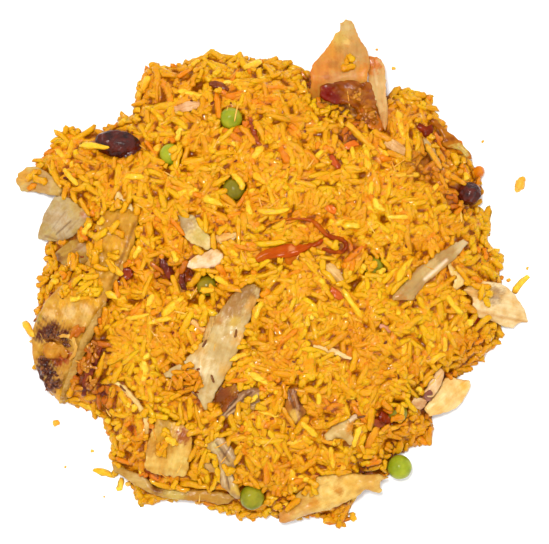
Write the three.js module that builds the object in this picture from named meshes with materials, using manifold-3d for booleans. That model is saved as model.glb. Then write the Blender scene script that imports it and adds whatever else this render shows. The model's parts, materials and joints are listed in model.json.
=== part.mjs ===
// A heap of chicken biryani, as it lies on a table: yellow rice in one mass, and the chicken, onion,
// chilli, peas and raisins that show in it. Millimetres, +Z up, origin on the table under the middle.

import * as THREE from "three";
import { mergeVertices } from "three/addons/utils/BufferGeometryUtils.js";
import Module from "manifold-3d";

const wasm = await Module();
wasm.setup();

// ---- Driving dimensions ----

// Distance from the middle of the heap to the edge of its rice, every ten degrees, from +X round to +Y.
const rimReach = [
  78, 74, 77, 80, 77, 80, 74, 70, 69, 73, 75, 79, 82, 73, 77, 86, 84, 79,
  79, 82, 86, 84, 77, 85, 88, 84, 83, 85, 86, 86, 83, 77, 76, 75, 80, 81,
];
const domeHeight = 21; // smooth rice in the middle, above its edge
const domeFullness = 2.6; // how flat the top is
const domeShoulder = 0.72; // how round the fall to the edge is
const edgeHeight = 1.8; // smooth rice at its very edge
const moundCount = 30; // soft swells and hollows over the top
const moundHeight = 2.2;
const moundSpread = 8.5;

const grainLength = 7.4;
const grainWidth = 2.2;
const coreRings = 26; // rings of points over the rice, half a grain apart
const ridgeCount = 800; // bumps of the size and form of a grain
const ridgeHeight = 1.5;
const coreBump = 0.35;
const rimBump = 1.6;
const topGrainCount = 52; // whole grains that lie loose on the bumps
const rimGrainCount = 50;
const grainProud = 1; // middle of a loose grain above the rice under it

const gap = 0.3; // between a topping and its neighbours
const bedding = 0.6; // between the underside of a topping and the smooth rice
const bedMargin = 1.7; // how far round a topping the rice has no bumps
const stepLength = 3.8; // between two sections of a strip

// ---- Colours and finishes ----

const finish = {
  rice: new THREE.MeshStandardMaterial({ color: 0xf2ae22, roughness: 0.5, metalness: 0 }),
  paleMeat: new THREE.MeshStandardMaterial({ color: 0xe6d4a2, roughness: 0.55, metalness: 0 }),
  brownMeat: new THREE.MeshStandardMaterial({ color: 0xc39a5c, roughness: 0.5, metalness: 0 }),
  greyMeat: new THREE.MeshStandardMaterial({ color: 0xb49a86, roughness: 0.6, metalness: 0 }),
  glazedMeat: new THREE.MeshStandardMaterial({ color: 0x7a2c14, roughness: 0.25, metalness: 0 }),
  onion: new THREE.MeshStandardMaterial({ color: 0xcbb488, roughness: 0.3, metalness: 0 }),
  petal: new THREE.MeshStandardMaterial({ color: 0xe0a35c, roughness: 0.35, metalness: 0 }),
  brownedOnion: new THREE.MeshStandardMaterial({ color: 0x9c5a22, roughness: 0.35, metalness: 0 }),
  chilli: new THREE.MeshStandardMaterial({ color: 0xb23c10, roughness: 0.25, metalness: 0 }),
  carrot: new THREE.MeshStandardMaterial({ color: 0xe8741a, roughness: 0.4, metalness: 0 }),
  pea: new THREE.MeshStandardMaterial({ color: 0x93a82c, roughness: 0.35, metalness: 0 }),
  raisin: new THREE.MeshStandardMaterial({ color: 0x35100e, roughness: 0.3, metalness: 0 }),
};

// ---- Toppings: each path point is [x, y, half width], from one end of the piece to the other ----

// Chicken torn off in long flat pieces. thick is the full thickness, lift its middle above the rice.
const chickenPieces = [
  {
    name: "chicken_long_left",
    path: [
      [-52.5, 20, 5.8], [-53.5, 11, 6.2], [-59, 1, 7.8], [-66.5, -8.5, 10.4],
      [-70.5, -19, 9.8], [-72.5, -28.5, 7.6], [-73.5, -37.5, 4.8], [-72.5, -44, 1.8],
    ],
    thick: 4.4, lift: 1.2, sides: 10, step: 4.5, tone: "brownMeat",
  },
  {
    name: "chicken_pale_left",
    path: [[-79.5, 12, 2], [-74, 16.5, 5.8], [-69, 19.5, 6.2], [-64, 19.5, 3.8], [-61, 19, 1.2]],
    thick: 3, lift: 1.4, sides: 10, tone: "paleMeat",
  },
  {
    name: "chicken_small_left",
    path: [[-73.5, 5.5, 1.8], [-70, 6.5, 3.2], [-65, 7, 3.6], [-61.5, 7.5, 2]],
    thick: 3.2, lift: 1, sides: 8, tone: "brownMeat",
  },
  {
    name: "chicken_far_left",
    path: [[-87.5, 31.5, 1.4], [-84, 32, 3.8], [-79, 31, 4.4], [-74, 28.5, 2.8], [-71.5, 25.5, 1]],
    thick: 3.4, lift: 1, sides: 8, tone: "brownMeat",
  },
  {
    name: "chicken_middle",
    path: [
      [-7, -4.5, 1.6], [-9.5, -10.5, 4], [-13.5, -16, 5.6], [-16.5, -22.5, 6.2],
      [-19, -29.5, 5.6], [-21, -36, 4.4], [-23.5, -42, 3], [-24.5, -47.5, 1.4],
    ],
    thick: 4.2, lift: 1.4, sides: 10, tone: "paleMeat",
  },
  {
    name: "chicken_middle_branch",
    path: [[-24, -29, 2.4], [-28, -31, 2.2], [-32, -32.5, 1.6], [-36.5, -34.5, 1]],
    thick: 2.4, lift: 1.2, sides: 8, tone: "paleMeat",
  },
  {
    name: "chicken_low_left",
    path: [[-36, -49.5, 2], [-34.5, -55, 6.2], [-35, -60.5, 7.6], [-35, -65.5, 6.2], [-33, -70.5, 3]],
    thick: 4, lift: 1.4, sides: 10, tone: "paleMeat",
  },
  {
    name: "chicken_bottom",
    path: [
      [-0.5, -83.5, 1.8], [6, -80.5, 4.4], [13, -76.5, 6.6], [19.5, -74, 6.2],
      [26.5, -73, 4.8], [32.5, -71.5, 2.8], [37, -71.5, 1],
    ],
    thick: 3.8, lift: 1.4, sides: 10, tone: "paleMeat",
  },
  {
    name: "chicken_thin_bottom",
    path: [
      [-54.5, -65.5, 0.6], [-49, -68.5, 1.8], [-42.5, -72.5, 2], [-36, -75, 2.2],
      [-28.5, -75.5, 2.6], [-20.5, -76, 2.2], [-12.5, -78.5, 0.8],
    ],
    thick: 2.6, lift: 1, sides: 8, tone: "brownMeat",
  },
  {
    name: "chicken_right",
    path: [[67.5, -8, 3], [72.5, -8.5, 5.4], [77.5, -11, 6.4], [82, -13, 5], [87, -16, 1.4]],
    thick: 3.8, lift: 1.4, sides: 10, tone: "paleMeat",
  },
  {
    name: "chicken_low_right",
    path: [[52.5, -47, 1.8], [56.5, -44, 4], [60.5, -41.5, 5.2], [64.5, -39.5, 4.4], [67.5, -38.5, 1.8]],
    thick: 3.4, lift: 1.2, sides: 8, tone: "paleMeat",
  },
  {
    name: "chicken_strip_low_right",
    path: [[57.5, -32, 0.8], [56, -35.5, 1.8], [53, -38, 1.8], [50.5, -41, 1]],
    thick: 2, lift: 1.4, sides: 6, tone: "paleMeat",
  },
  {
    name: "meat_glazed_top",
    path: [[16.5, 61, 2], [21, 61, 3], [26, 60.5, 3.8], [30, 59, 4.2], [32, 55.5, 2.4]],
    thick: 4, lift: 1.6, sides: 8, tone: "glazedMeat",
  },
  {
    name: "chicken_white_upper",
    path: [[-31, 18.5, 2], [-28, 15.5, 3], [-25, 11.5, 3.4], [-20.5, 8, 1.6]],
    thick: 2.8, lift: 1.2, sides: 8, tone: "paleMeat",
  },
  {
    name: "chicken_white_lower",
    path: [[-29, 3.5, 1.4], [-24.5, 4, 2.4], [-20, 4.5, 1.8], [-16.5, 5.5, 0.8]],
    thick: 2.4, lift: 1.3, sides: 8, tone: "paleMeat",
  },
  {
    name: "chicken_dark_middle",
    path: [[-17.5, -49.5, 1.4], [-14, -46, 2.6], [-9.5, -43, 3], [-5, -41, 1.8]],
    thick: 2.8, lift: 1, sides: 8, tone: "greyMeat",
  },
  {
    name: "chicken_dark_right",
    path: [[6.5, -42, 2.4], [7.5, -46, 3.4], [8.5, -50, 2.4], [9.5, -53, 0.8]],
    thick: 2.6, lift: 0.9, sides: 8, tone: "greyMeat",
  },
  {
    name: "chicken_low_middle",
    path: [[-17, -56, 1.6], [-15.5, -60.5, 3.8], [-16, -65, 2.8], [-14, -69.5, 2.2], [-12.5, -72.5, 1]],
    thick: 2.8, lift: 1.2, sides: 8, tone: "greyMeat",
  },
  {
    name: "chicken_arch",
    path: [[18.5, -57, 0.8], [20.5, -53.5, 1.6], [24, -52.5, 1.6], [26.5, -54.5, 1.6], [28.5, -57, 0.8]],
    thick: 2.2, lift: 1.3, sides: 6, tone: "paleMeat",
  },
];

// Shreds no wider than a grain is long.
const chickenShreds = [
  { name: "chicken_shred_upper", path: [[-18, 10.5, 0.8], [-15, 11.5, 1.4], [-11.5, 13, 0.6]] },
  { name: "chicken_shred_left", path: [[-53.5, 26.5, 0.6], [-50.5, 23.8, 1.2], [-47, 22, 0.6]] },
  { name: "chicken_shred_middle", path: [[13.5, -24.5, 0.6], [19.5, -26, 1.4], [26.5, -29, 0.6]] },
  { name: "chicken_sliver_top_right", path: [[51.5, 45.5, 0.8], [54, 41, 1.6], [57.5, 34.5, 0.6]] },
  { name: "chicken_bit_middle", path: [[18.5, 3, 1.2], [20.5, 0.5, 2], [23.5, -3, 1]] },
  {
    name: "chicken_strand_low_left",
    path: [[-53, -37, 0.6], [-49.5, -40, 1], [-45.5, -44.5, 1], [-42.5, -50, 1], [-42.5, -55, 0.6]],
  },
  { name: "chicken_bit_top_left", path: [[-33, 55, 1.2], [-28.5, 56, 2], [-24.5, 57, 1]] },
  { name: "chicken_bit_top_right", path: [[38, 44.5, 1.4], [41.5, 42.5, 2.4], [45.5, 40.5, 1.4]] },
];

const brownedOnions = [
  { name: "browned_onion_right", path: [[55, 52.5, 1], [58.5, 48.5, 1.8], [63, 44.5, 2], [68, 39, 0.8]] },
  { name: "browned_onion_top", path: [[48, 51.5, 1], [51, 50.5, 2], [54, 47.5, 1]] },
  { name: "browned_onion_left", path: [[-37.5, 5.5, 0.8], [-36, 2, 1.4], [-34, -2, 0.8]] },
  { name: "browned_onion_middle", path: [[-30, 0, 0.8], [-30.5, -3, 1.2], [-29, -6, 0.6]] },
  { name: "browned_onion_curl", path: [[-7.5, 52.5, 0.8], [-6.5, 47.5, 1.2], [-4, 41.5, 0.6]] },
  {
    name: "browned_onion_low_left",
    path: [[-58, -24, 0.8], [-60, -29, 1.6], [-62.5, -35, 1.6], [-64.5, -42, 0.8]],
  },
  { name: "browned_onion_low_right", path: [[33, -50, 0.8], [35.5, -51, 1.6], [38, -51.5, 0.8]] },
  { name: "browned_onion_bit_top", path: [[-21.5, 64.5, 1], [-18, 63.5, 1.6], [-15, 62, 0.8]] },
];

const chilliStrips = [
  {
    name: "chilli_strip_main",
    path: [[-7, 4.5, 0.6], [-1, 7.5, 1], [5, 9, 1.4], [10, 9, 1.2], [14.5, 10.2, 0.8]],
  },
  {
    name: "chilli_strip_loop",
    path: [
      [-6, 16, 0.6], [1, 18, 0.7], [9, 18.5, 0.7], [13.5, 17, 0.8], [16.5, 14, 0.7],
      [21, 12, 0.8], [24.5, 10.5, 0.8], [25, 7.5, 0.7], [22, 6, 0.7], [18, 7.2, 0.6],
    ],
  },
  { name: "chilli_strip_short", path: [[9.5, 6.2, 1], [7, 4.6, 1], [4, 2.6, 0.6]] },
];

const vegetableBits = [
  { name: "tomato_bit_middle", path: [[19.5, -5.2, 0.8], [21.5, -7, 1.6], [23.5, -9, 0.8]], tone: "chilli" },
  { name: "tomato_skin_top", path: [[19.5, 39.5, 0.8], [21, 37, 1.6], [23, 34.5, 0.8]], tone: "chilli" },
  { name: "carrot_bit_top", path: [[24, 42, 0.8], [26.5, 43, 1.6], [29, 43.5, 0.8]], tone: "carrot" },
  { name: "carrot_bit_middle", path: [[17, 23, 0.8], [19.5, 21.5, 1.6], [21.5, 20, 0.8]], tone: "carrot" },
];

// Onion layers. A petal and a strip are thin and wavy, and rise from one height to another.
const onionLayers = [
  {
    name: "onion_petal_top",
    path: [[25, 86, 1], [24.5, 81.5, 3.4], [23.5, 76.5, 6.4], [23, 71, 9.2], [23, 65.6, 9.6]],
    thick: 0.9, heights: [6, 13], curl: 0.05, tone: "petal",
  },
  {
    name: "onion_strip_top",
    path: [
      [34.5, 72.5, 1.2], [36.2, 68.5, 2.6], [37, 63, 2.8], [37.3, 57, 2.4], [38, 51.5, 1.6], [38.2, 48, 0.8],
    ],
    thick: 0.9, heights: [7.5, 17.5], curl: -0.16, tone: "onion",
  },
  {
    name: "onion_strip_right",
    path: [
      [41.5, -9.5, 1.6], [45.5, -6, 3.4], [49.5, -1.5, 3.8], [54.5, 3, 3.4], [60, 6.5, 2.2], [65, 10.5, 0.7],
    ],
    thick: 1.2, lift: 2.2, curl: -0.18, tone: "onion",
  },
];

// Round things: [x, y, radius], with how far the middle stands above the rice.
const peas = [
  { at: [-34.5, 40], radius: 3.6, lift: 1.2 },
  { at: [-14, 52], radius: 3.8, lift: 0.6 },
  { at: [-13, 28], radius: 3.8, lift: 0.4 },
  { at: [-7, -76.5], radius: 4.2, lift: 1.6 },
  { at: [43.5, -66.5], radius: 4.2, lift: 2 },
  { at: [-22, -4.5], radius: 3.4, lift: 0.2 },
  { at: [34, 2], radius: 3.3, lift: 0.2 },
  { at: [42.5, -47.5], radius: 3.3, lift: 0.4 },
];
const raisins = [
  { name: "raisin_left", at: [-53, 43.5], size: [15, 9.6, 8], turn: -15, lift: 1.6 },
  { name: "raisin_right", at: [67, 27], size: [8.6, 7.8, 6.6], turn: 30, lift: 1.8 },
];
const carrotBall = { at: [70.6, 34.6], radius: 2.1, lift: 1 };

// ---- Helpers ----

function seededRandom(seed) {
  let state = seed;
  return () => {
    state = (state * 1664525 + 1013904223) % 4294967296;
    return state / 4294967296;
  };
}

function spread(random, amount) {
  return (random() * 2 - 1) * amount;
}

function solidFrom(geometry) {
  const bare = geometry.clone();
  bare.deleteAttribute("normal");
  bare.deleteAttribute("uv");
  const merged = mergeVertices(bare, 1e-4);
  return new wasm.Manifold(
    new wasm.Mesh({
      numProp: 3,
      vertProperties: new Float32Array(merged.attributes.position.array),
      triVerts: new Uint32Array(merged.index.array),
    }),
  );
}

function geometryFrom(solid) {
  const mesh = solid.getMesh();
  const geometry = new THREE.BufferGeometry();
  geometry.setAttribute("position", new THREE.BufferAttribute(new Float32Array(mesh.vertProperties), 3));
  geometry.setIndex(new THREE.BufferAttribute(new Uint32Array(mesh.triVerts), 1));
  geometry.computeVertexNormals();
  return geometry;
}

// The main body of a solid, without scraps cut loose and hollows shut in.
function mainBody(solid) {
  const bodies = solid.decompose();
  return bodies.reduce((best, body) => (body.volume() > best.volume() ? body : best));
}

// ---- The smooth form of the rice ----

function reachAt(angle) {
  const place = THREE.MathUtils.euclideanModulo(angle / (2 * Math.PI), 1) * rimReach.length;
  const before = Math.floor(place);
  const part = place - before;
  const [a, b, c, d] = [-1, 0, 1, 2].map((k) => rimReach[(before + k + rimReach.length) % rimReach.length]);
  const slope = (c - a) / 2;
  const nextSlope = (d - b) / 2;
  const bend = 2 * (b - c) + slope + nextSlope;
  return b + part * (slope + part * (c - b - slope - bend + part * bend));
}

const drawMound = seededRandom(23);
const mounds = Array.from({ length: moundCount }, (unused, i) => {
  const angle = i * 2.4;
  const distance = 68 * Math.sqrt((i + 0.5) / moundCount);
  return {
    x: distance * Math.cos(angle),
    y: distance * Math.sin(angle),
    height: spread(drawMound, moundHeight),
    spread: moundSpread * (0.7 + drawMound()),
  };
});

function riceTop(x, y) {
  const across = Math.hypot(x, y) / reachAt(Math.atan2(y, x));
  if (across >= 1) return 0;
  const dome = domeHeight * (1 - across ** domeFullness) ** domeShoulder;
  let swell = 0;
  for (const mound of mounds) {
    const distance = Math.hypot(x - mound.x, y - mound.y) / mound.spread;
    swell += mound.height * Math.exp(-distance * distance);
  }
  return edgeHeight + dome + swell * (1 - across * across);
}

// The way the smooth rice faces, over a patch of some size.
function riceNormal(x, y, patch) {
  const slopeX = (riceTop(x + patch, y) - riceTop(x - patch, y)) / (2 * patch);
  const slopeY = (riceTop(x, y + patch) - riceTop(x, y - patch)) / (2 * patch);
  return new THREE.Vector3(-slopeX, -slopeY, 1).normalize();
}

// Ridges like half-sunk grains, spread evenly on a spiral.
const drawRidge = seededRandom(31);
const goldenTurn = Math.PI * (3 - Math.sqrt(5));
const ridges = Array.from({ length: ridgeCount }, (unused, i) => {
  const angle = i * goldenTurn;
  const distance = reachAt(angle) * Math.sqrt((i + 0.5) / ridgeCount);
  const yaw = drawRidge() * Math.PI;
  const along = { cos: Math.cos(yaw), sin: Math.sin(yaw) };
  return { x: distance * Math.cos(angle), y: distance * Math.sin(angle), ...along };
});

function ridgeTop(x, y) {
  let top = 0;
  for (const ridge of ridges) {
    const along = ((x - ridge.x) * ridge.cos + (y - ridge.y) * ridge.sin) / (grainLength / 2);
    const across = ((y - ridge.y) * ridge.cos - (x - ridge.x) * ridge.sin) / (grainWidth * 0.8);
    const left = 1 - along * along - across * across;
    if (left > 0) top = Math.max(top, ridgeHeight * Math.sqrt(left));
  }
  return top;
}

// Rings of points round the middle, each with six more than the ring inside it, over a flat bottom.
// Under the toppings, whose footprints are [x, y, radius], the rice is smooth.
function riceCore(footprints) {
  const random = seededRandom(5);
  const position = [0, 0, riceTop(0, 0)];
  const index = [];
  const ringStart = (ring) => (ring === 0 ? 0 : 1 + 3 * ring * (ring - 1));
  const inBed = (x, y) =>
    footprints.some(([px, py, radius]) => Math.hypot(x - px, y - py) < radius + bedMargin);
  for (let ring = 1; ring <= coreRings; ring++) {
    const count = 6 * ring;
    const atRim = ring === coreRings;
    for (let k = 0; k < count; k++) {
      const angle = (2 * Math.PI * k) / count;
      const reach = reachAt(angle) * (ring / coreRings) + (atRim ? spread(random, rimBump) : 0);
      const x = reach * Math.cos(angle);
      const y = reach * Math.sin(angle);
      const bump = ridgeTop(x, y) + spread(random, coreBump);
      const smooth = atRim ? edgeHeight : riceTop(x, y);
      position.push(x, y, inBed(x, y) ? smooth : smooth + bump);
    }
  }
  for (let ring = 0; ring < coreRings; ring++) {
    const inner = (k) => ringStart(ring) + (ring === 0 ? 0 : k % (6 * ring));
    const outer = (k) => ringStart(ring + 1) + (k % (6 * (ring + 1)));
    for (let sector = 0; sector < 6; sector++) {
      for (let k = 0; k <= ring; k++) {
        const innerAt = sector * ring + k;
        const outerAt = sector * (ring + 1) + k;
        index.push(inner(innerAt), outer(outerAt), outer(outerAt + 1));
        if (k < ring) index.push(inner(innerAt), outer(outerAt + 1), inner(innerAt + 1));
      }
    }
  }
  const rimStart = ringStart(coreRings);
  const rimCount = 6 * coreRings;
  const floorStart = position.length / 3;
  for (let k = 0; k < rimCount; k++) {
    position.push(position[3 * (rimStart + k)], position[3 * (rimStart + k) + 1], 0);
  }
  const floorMiddle = position.length / 3;
  position.push(0, 0, 0);
  for (let k = 0; k < rimCount; k++) {
    const next = (k + 1) % rimCount;
    index.push(rimStart + k, floorStart + k, floorStart + next);
    index.push(rimStart + k, floorStart + next, rimStart + next);
    index.push(floorMiddle, floorStart + next, floorStart + k);
  }
  const geometry = new THREE.BufferGeometry();
  geometry.setAttribute("position", new THREE.Float32BufferAttribute(position, 3));
  geometry.setIndex(index);
  return solidFrom(geometry);
}

// ---- Grains ----

function grain(x, y, z, length, yaw, pitch) {
  const geometry = new THREE.SphereGeometry(0.5, 5, 3);
  geometry.scale(grainWidth, length, grainWidth);
  geometry.rotateX(pitch);
  geometry.rotateZ(yaw);
  geometry.translate(x, y, z);
  return solidFrom(geometry);
}

// Grains over the top, spread evenly on a spiral, each lying along the slope under it.
function topGrains() {
  const random = seededRandom(11);
  return Array.from({ length: topGrainCount }, (unused, i) => {
    const angle = i * goldenTurn + 0.7;
    const reach = reachAt(angle) * 0.94 * Math.sqrt((i + 0.5) / topGrainCount);
    const x = reach * Math.cos(angle);
    const y = reach * Math.sin(angle);
    const length = grainLength * (0.8 + 0.3 * random());
    const yaw = random() * Math.PI;
    const endX = (-Math.sin(yaw) * length) / 2;
    const endY = (Math.cos(yaw) * length) / 2;
    const ends = [riceTop(x - endX, y - endY), riceTop(x + endX, y + endY)];
    const pitch = Math.atan2(ends[1] - ends[0], length) + spread(random, 0.15);
    const z = Math.max((ends[0] + ends[1]) / 2, riceTop(x, y)) + grainProud;
    return grain(x, y, Math.max(z, grainWidth * 0.75), length, yaw, pitch);
  });
}

// Grains that stick out round the rim, flat on the table.
function rimGrains() {
  const random = seededRandom(17);
  return Array.from({ length: rimGrainCount }, (unused, i) => {
    const angle = ((i + spread(random, 0.4)) / rimGrainCount) * 2 * Math.PI;
    const length = grainLength * (0.75 + 0.35 * random());
    const lean = spread(random, 1.5);
    const reach = reachAt(angle) - 0.6 + (random() * length * Math.cos(lean)) / 4;
    const z = grainWidth * (0.5 + 0.5 * random());
    return grain(reach * Math.cos(angle), reach * Math.sin(angle), z, length, angle - Math.PI / 2 + lean, 0);
  });
}

// ---- Toppings as solids; grow is a margin added all round ----

// The lowest that a topping reaches: just over the smooth rice, or the table outside it.
function underside(x, y) {
  const rice = riceTop(x, y);
  return rice > 0 ? rice + bedding : 0.05;
}

// A strip along a path: rounded sections across it, flatter or rounder by their thickness.
function strip(piece, grow) {
  const [startX, startY] = piece.path[0];
  const random = seededRandom(Math.round(Math.abs(startX * 31 + startY * 7)));
  const flat = piece.path.map(([x, y]) => new THREE.Vector3(x, y, 0));
  const route = new THREE.CatmullRomCurve3(flat, false, "centripetal");
  const widths = new THREE.CatmullRomCurve3(piece.path.map(([, , half]) => new THREE.Vector3(half, 0, 0)));
  const steps = Math.max(4, Math.round(route.getLength() / (piece.step ?? stepLength)));
  const middles = Array.from({ length: steps + 1 }, (unused, i) => {
    const point = route.getPoint(i / steps);
    const resting = riceTop(point.x, point.y) + (piece.lift ?? 0);
    point.z = piece.heights ? THREE.MathUtils.lerp(...piece.heights, i / steps) : resting;
    point.z = Math.max(point.z, piece.thick / 2);
    return point;
  });
  const position = [];
  middles.forEach((middle, i) => {
    const ahead = middles[Math.min(i + 1, steps)].clone().sub(middles[Math.max(i - 1, 0)]).normalize();
    const half = widths.getPoint(i / steps).x;
    const lean = piece.heights ? new THREE.Vector3(0, 0, 1) : riceNormal(middle.x, middle.y, half);
    const across = new THREE.Vector3().crossVectors(ahead, lean).normalize();
    const upward = new THREE.Vector3().crossVectors(across, ahead);
    const thin = 0.55 + 0.45 * Math.sin((Math.PI * (i + 0.5)) / (steps + 1));
    const wave = piece.wave ? piece.wave * Math.sin(i * 1.9) : 0;
    for (let k = 0; k < piece.sides; k++) {
      const angle = (2 * Math.PI * (k + 0.5)) / piece.sides;
      const sideways = Math.sign(Math.cos(angle)) * Math.abs(Math.cos(angle)) ** 0.75;
      const level = Math.sign(Math.sin(angle)) * Math.abs(Math.sin(angle)) ** 0.6;
      const torn = 1 + spread(random, piece.torn ?? 0.1);
      const bend = (piece.curl ?? 0) * half * (2 * sideways * sideways - 1) + wave * sideways;
      const high = level * ((piece.thick / 2) * thin + grow) + bend;
      const end = i === 0 ? -grow : i === steps ? grow : 0;
      const place = middle.clone().addScaledVector(across, sideways * half * torn);
      const lowest = underside(place.x, place.y) - grow;
      place.addScaledVector(upward, high).addScaledVector(across, sideways * grow).addScaledVector(ahead, end);
      position.push(place.x, place.y, Math.max(place.z, lowest));
    }
  });
  return solidFrom(closedTube(position, steps, piece.sides));
}

// Rings of points joined into a tube, with a face on each end.
function closedTube(position, steps, sides) {
  const index = [];
  for (let i = 0; i < steps; i++) {
    for (let k = 0; k < sides; k++) {
      const here = i * sides + k;
      const next = i * sides + ((k + 1) % sides);
      index.push(here, next + sides, next);
      index.push(here, here + sides, next + sides);
    }
  }
  for (let k = 1; k < sides - 1; k++) {
    index.push(0, k, k + 1);
    index.push(steps * sides, steps * sides + k + 1, steps * sides + k);
  }
  const geometry = new THREE.BufferGeometry();
  geometry.setAttribute("position", new THREE.Float32BufferAttribute(position, 3));
  geometry.setIndex(index);
  return geometry;
}

// Points of a geometry that would be in the rice are moved up to its surface.
function fitted(geometry, grow) {
  const place = geometry.attributes.position;
  for (let i = 0; i < place.count; i++) {
    const floor = underside(place.getX(i), place.getY(i)) - grow;
    place.setZ(i, Math.max(place.getZ(i), floor));
  }
  return solidFrom(geometry);
}

function ball({ at: [x, y], radius, lift }, grow) {
  const geometry = new THREE.IcosahedronGeometry(radius + grow, 1);
  geometry.translate(x, y, Math.max(riceTop(x, y) + lift, radius));
  return fitted(geometry, grow);
}

// A raisin: an egg with deep folds along it.
function raisin({ at: [x, y], size, turn, lift }, grow) {
  const geometry = new THREE.SphereGeometry(1, 11, 7);
  geometry.rotateZ(Math.PI / 2);
  const place = geometry.attributes.position;
  for (let i = 0; i < place.count; i++) {
    const point = new THREE.Vector3().fromBufferAttribute(place, i);
    const around = Math.atan2(point.z, point.y);
    const fold = 1 + 0.09 * Math.hypot(point.y, point.z) * Math.sin(5 * around + 2.2 * point.x);
    point.multiply(new THREE.Vector3(size[0] / 2 + grow, size[1] / 2 + grow, size[2] / 2 + grow));
    point.multiplyScalar(fold);
    place.setXYZ(i, point.x, point.y, point.z);
  }
  geometry.rotateZ(THREE.MathUtils.degToRad(turn));
  geometry.translate(x, y, Math.max(riceTop(x, y) + lift, size[2] / 2));
  return fitted(geometry, grow);
}

// Every topping with its name, its finish, the ground it covers and the function that makes its solid.
function listToppings() {
  const list = [];
  const addBalls = (pieces, name, tone) => {
    pieces.forEach((piece, i) => {
      const ground = [[...piece.at, piece.radius]];
      list.push({ name: name + (i + 1), tone, ground, make: (grow) => ball(piece, grow) });
    });
  };
  const addStrips = (pieces, shape) => {
    for (const piece of pieces) {
      const whole = { ...shape, ...piece };
      const ground = stripGround(whole.path);
      list.push({ name: piece.name, tone: whole.tone, ground, make: (grow) => strip(whole, grow) });
    }
  };
  addBalls(peas, "pea_", "pea");
  addBalls([carrotBall], "carrot_ball_", "carrot");
  for (const one of raisins) {
    const ground = [[...one.at, one.size[0] / 2]];
    list.push({ name: one.name, tone: "raisin", ground, make: (grow) => raisin(one, grow) });
  }
  addStrips(chilliStrips, { thick: 1.6, lift: 1.7, sides: 6, tone: "chilli" });
  addStrips(onionLayers, { sides: 10, torn: 0.05, wave: 0.35 });
  addStrips(chickenPieces, { torn: 0.14 });
  addStrips(chickenShreds, { thick: 1.8, lift: 1.5, sides: 6, tone: "greyMeat" });
  addStrips(brownedOnions, { thick: 1.6, lift: 1.4, sides: 6, tone: "brownedOnion" });
  addStrips(vegetableBits, { thick: 1.8, lift: 1.5, sides: 6 });
  return list;
}

// Circles that cover the ground under a strip.
function stripGround(path) {
  const route = new THREE.CatmullRomCurve3(path.map(([x, y, half]) => new THREE.Vector3(x, y, half)));
  return route.getPoints(path.length * 4).map((point) => [point.x, point.y, point.z]);
}

// ---- Putting the heap together ----

const heap = new THREE.Group();

function addNode(name, solid, tone) {
  const mesh = new THREE.Mesh(geometryFrom(solid), finish[tone]);
  mesh.name = name;
  heap.add(mesh);
}

// Each topping gives way to those before it.
const toppings = listToppings();
const wholes = toppings.map((topping) => topping.make(0));
const rooms = toppings.map((topping) => topping.make(gap));
let toppingRoom = rooms[0];
toppings.forEach((topping, i) => {
  const meets = i > 0 && !wholes[i].intersect(toppingRoom).isEmpty();
  addNode(topping.name, meets ? mainBody(wholes[i].subtract(toppingRoom)) : wholes[i], topping.tone);
  toppingRoom = toppingRoom.add(rooms[i]);
});

// Grains that would cross a topping are left out, and the rice gives way where a topping reaches into it.
let rice = riceCore(toppings.flatMap((topping) => topping.ground));
for (const one of [...topGrains(), ...rimGrains()]) {
  if (one.intersect(toppingRoom).isEmpty()) rice = rice.add(one);
}
wholes.forEach((whole, i) => {
  if (!whole.intersect(rice).isEmpty()) rice = rice.subtract(rooms[i]);
});
addNode("rice", mainBody(rice), "rice");

// The origin goes under the middle of the whole heap.
const middle = new THREE.Box3().setFromObject(heap).getCenter(new THREE.Vector3());
heap.position.set(-middle.x, -middle.y, 0);

export default heap;
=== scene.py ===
import json
import math

import bpy
import numpy as np
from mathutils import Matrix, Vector, noise
from mathutils.bvhtree import BVHTree

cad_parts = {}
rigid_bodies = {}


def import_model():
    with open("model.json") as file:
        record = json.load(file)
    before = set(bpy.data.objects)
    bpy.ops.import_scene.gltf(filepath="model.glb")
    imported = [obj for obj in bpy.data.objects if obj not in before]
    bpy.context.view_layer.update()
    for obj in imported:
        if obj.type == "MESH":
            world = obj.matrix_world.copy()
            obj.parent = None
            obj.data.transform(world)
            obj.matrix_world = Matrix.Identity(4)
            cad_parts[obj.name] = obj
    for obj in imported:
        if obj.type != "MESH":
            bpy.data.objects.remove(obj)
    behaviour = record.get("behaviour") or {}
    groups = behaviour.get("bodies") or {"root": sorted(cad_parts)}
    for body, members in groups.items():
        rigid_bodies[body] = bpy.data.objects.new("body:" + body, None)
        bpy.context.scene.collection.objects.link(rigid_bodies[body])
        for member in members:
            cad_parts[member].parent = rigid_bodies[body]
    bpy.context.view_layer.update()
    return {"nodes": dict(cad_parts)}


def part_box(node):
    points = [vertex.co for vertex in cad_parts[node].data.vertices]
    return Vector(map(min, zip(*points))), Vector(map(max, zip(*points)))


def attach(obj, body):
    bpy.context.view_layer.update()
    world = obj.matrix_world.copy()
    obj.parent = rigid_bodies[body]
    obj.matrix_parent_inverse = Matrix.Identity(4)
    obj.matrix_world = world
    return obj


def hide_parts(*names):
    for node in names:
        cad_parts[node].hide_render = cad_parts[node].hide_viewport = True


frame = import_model()
scene = bpy.context.scene
bpy.ops.object.select_all(action="DESELECT")
print("frame loaded:", len(frame["nodes"]), "solids")

mm = 0.001
beyond = 99.0  # further than anything here reaches, in mm
chance = np.random.default_rng(41)


# small tools

def only(obj):
    bpy.ops.object.select_all(action="DESELECT")
    obj.select_set(True)
    bpy.context.view_layer.objects.active = obj


def pointsOf(obj):
    flat = np.empty(len(obj.data.vertices) * 3, dtype=np.float32)
    obj.data.vertices.foreach_get("co", flat)
    return flat.reshape(-1, 3).astype(float)


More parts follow.
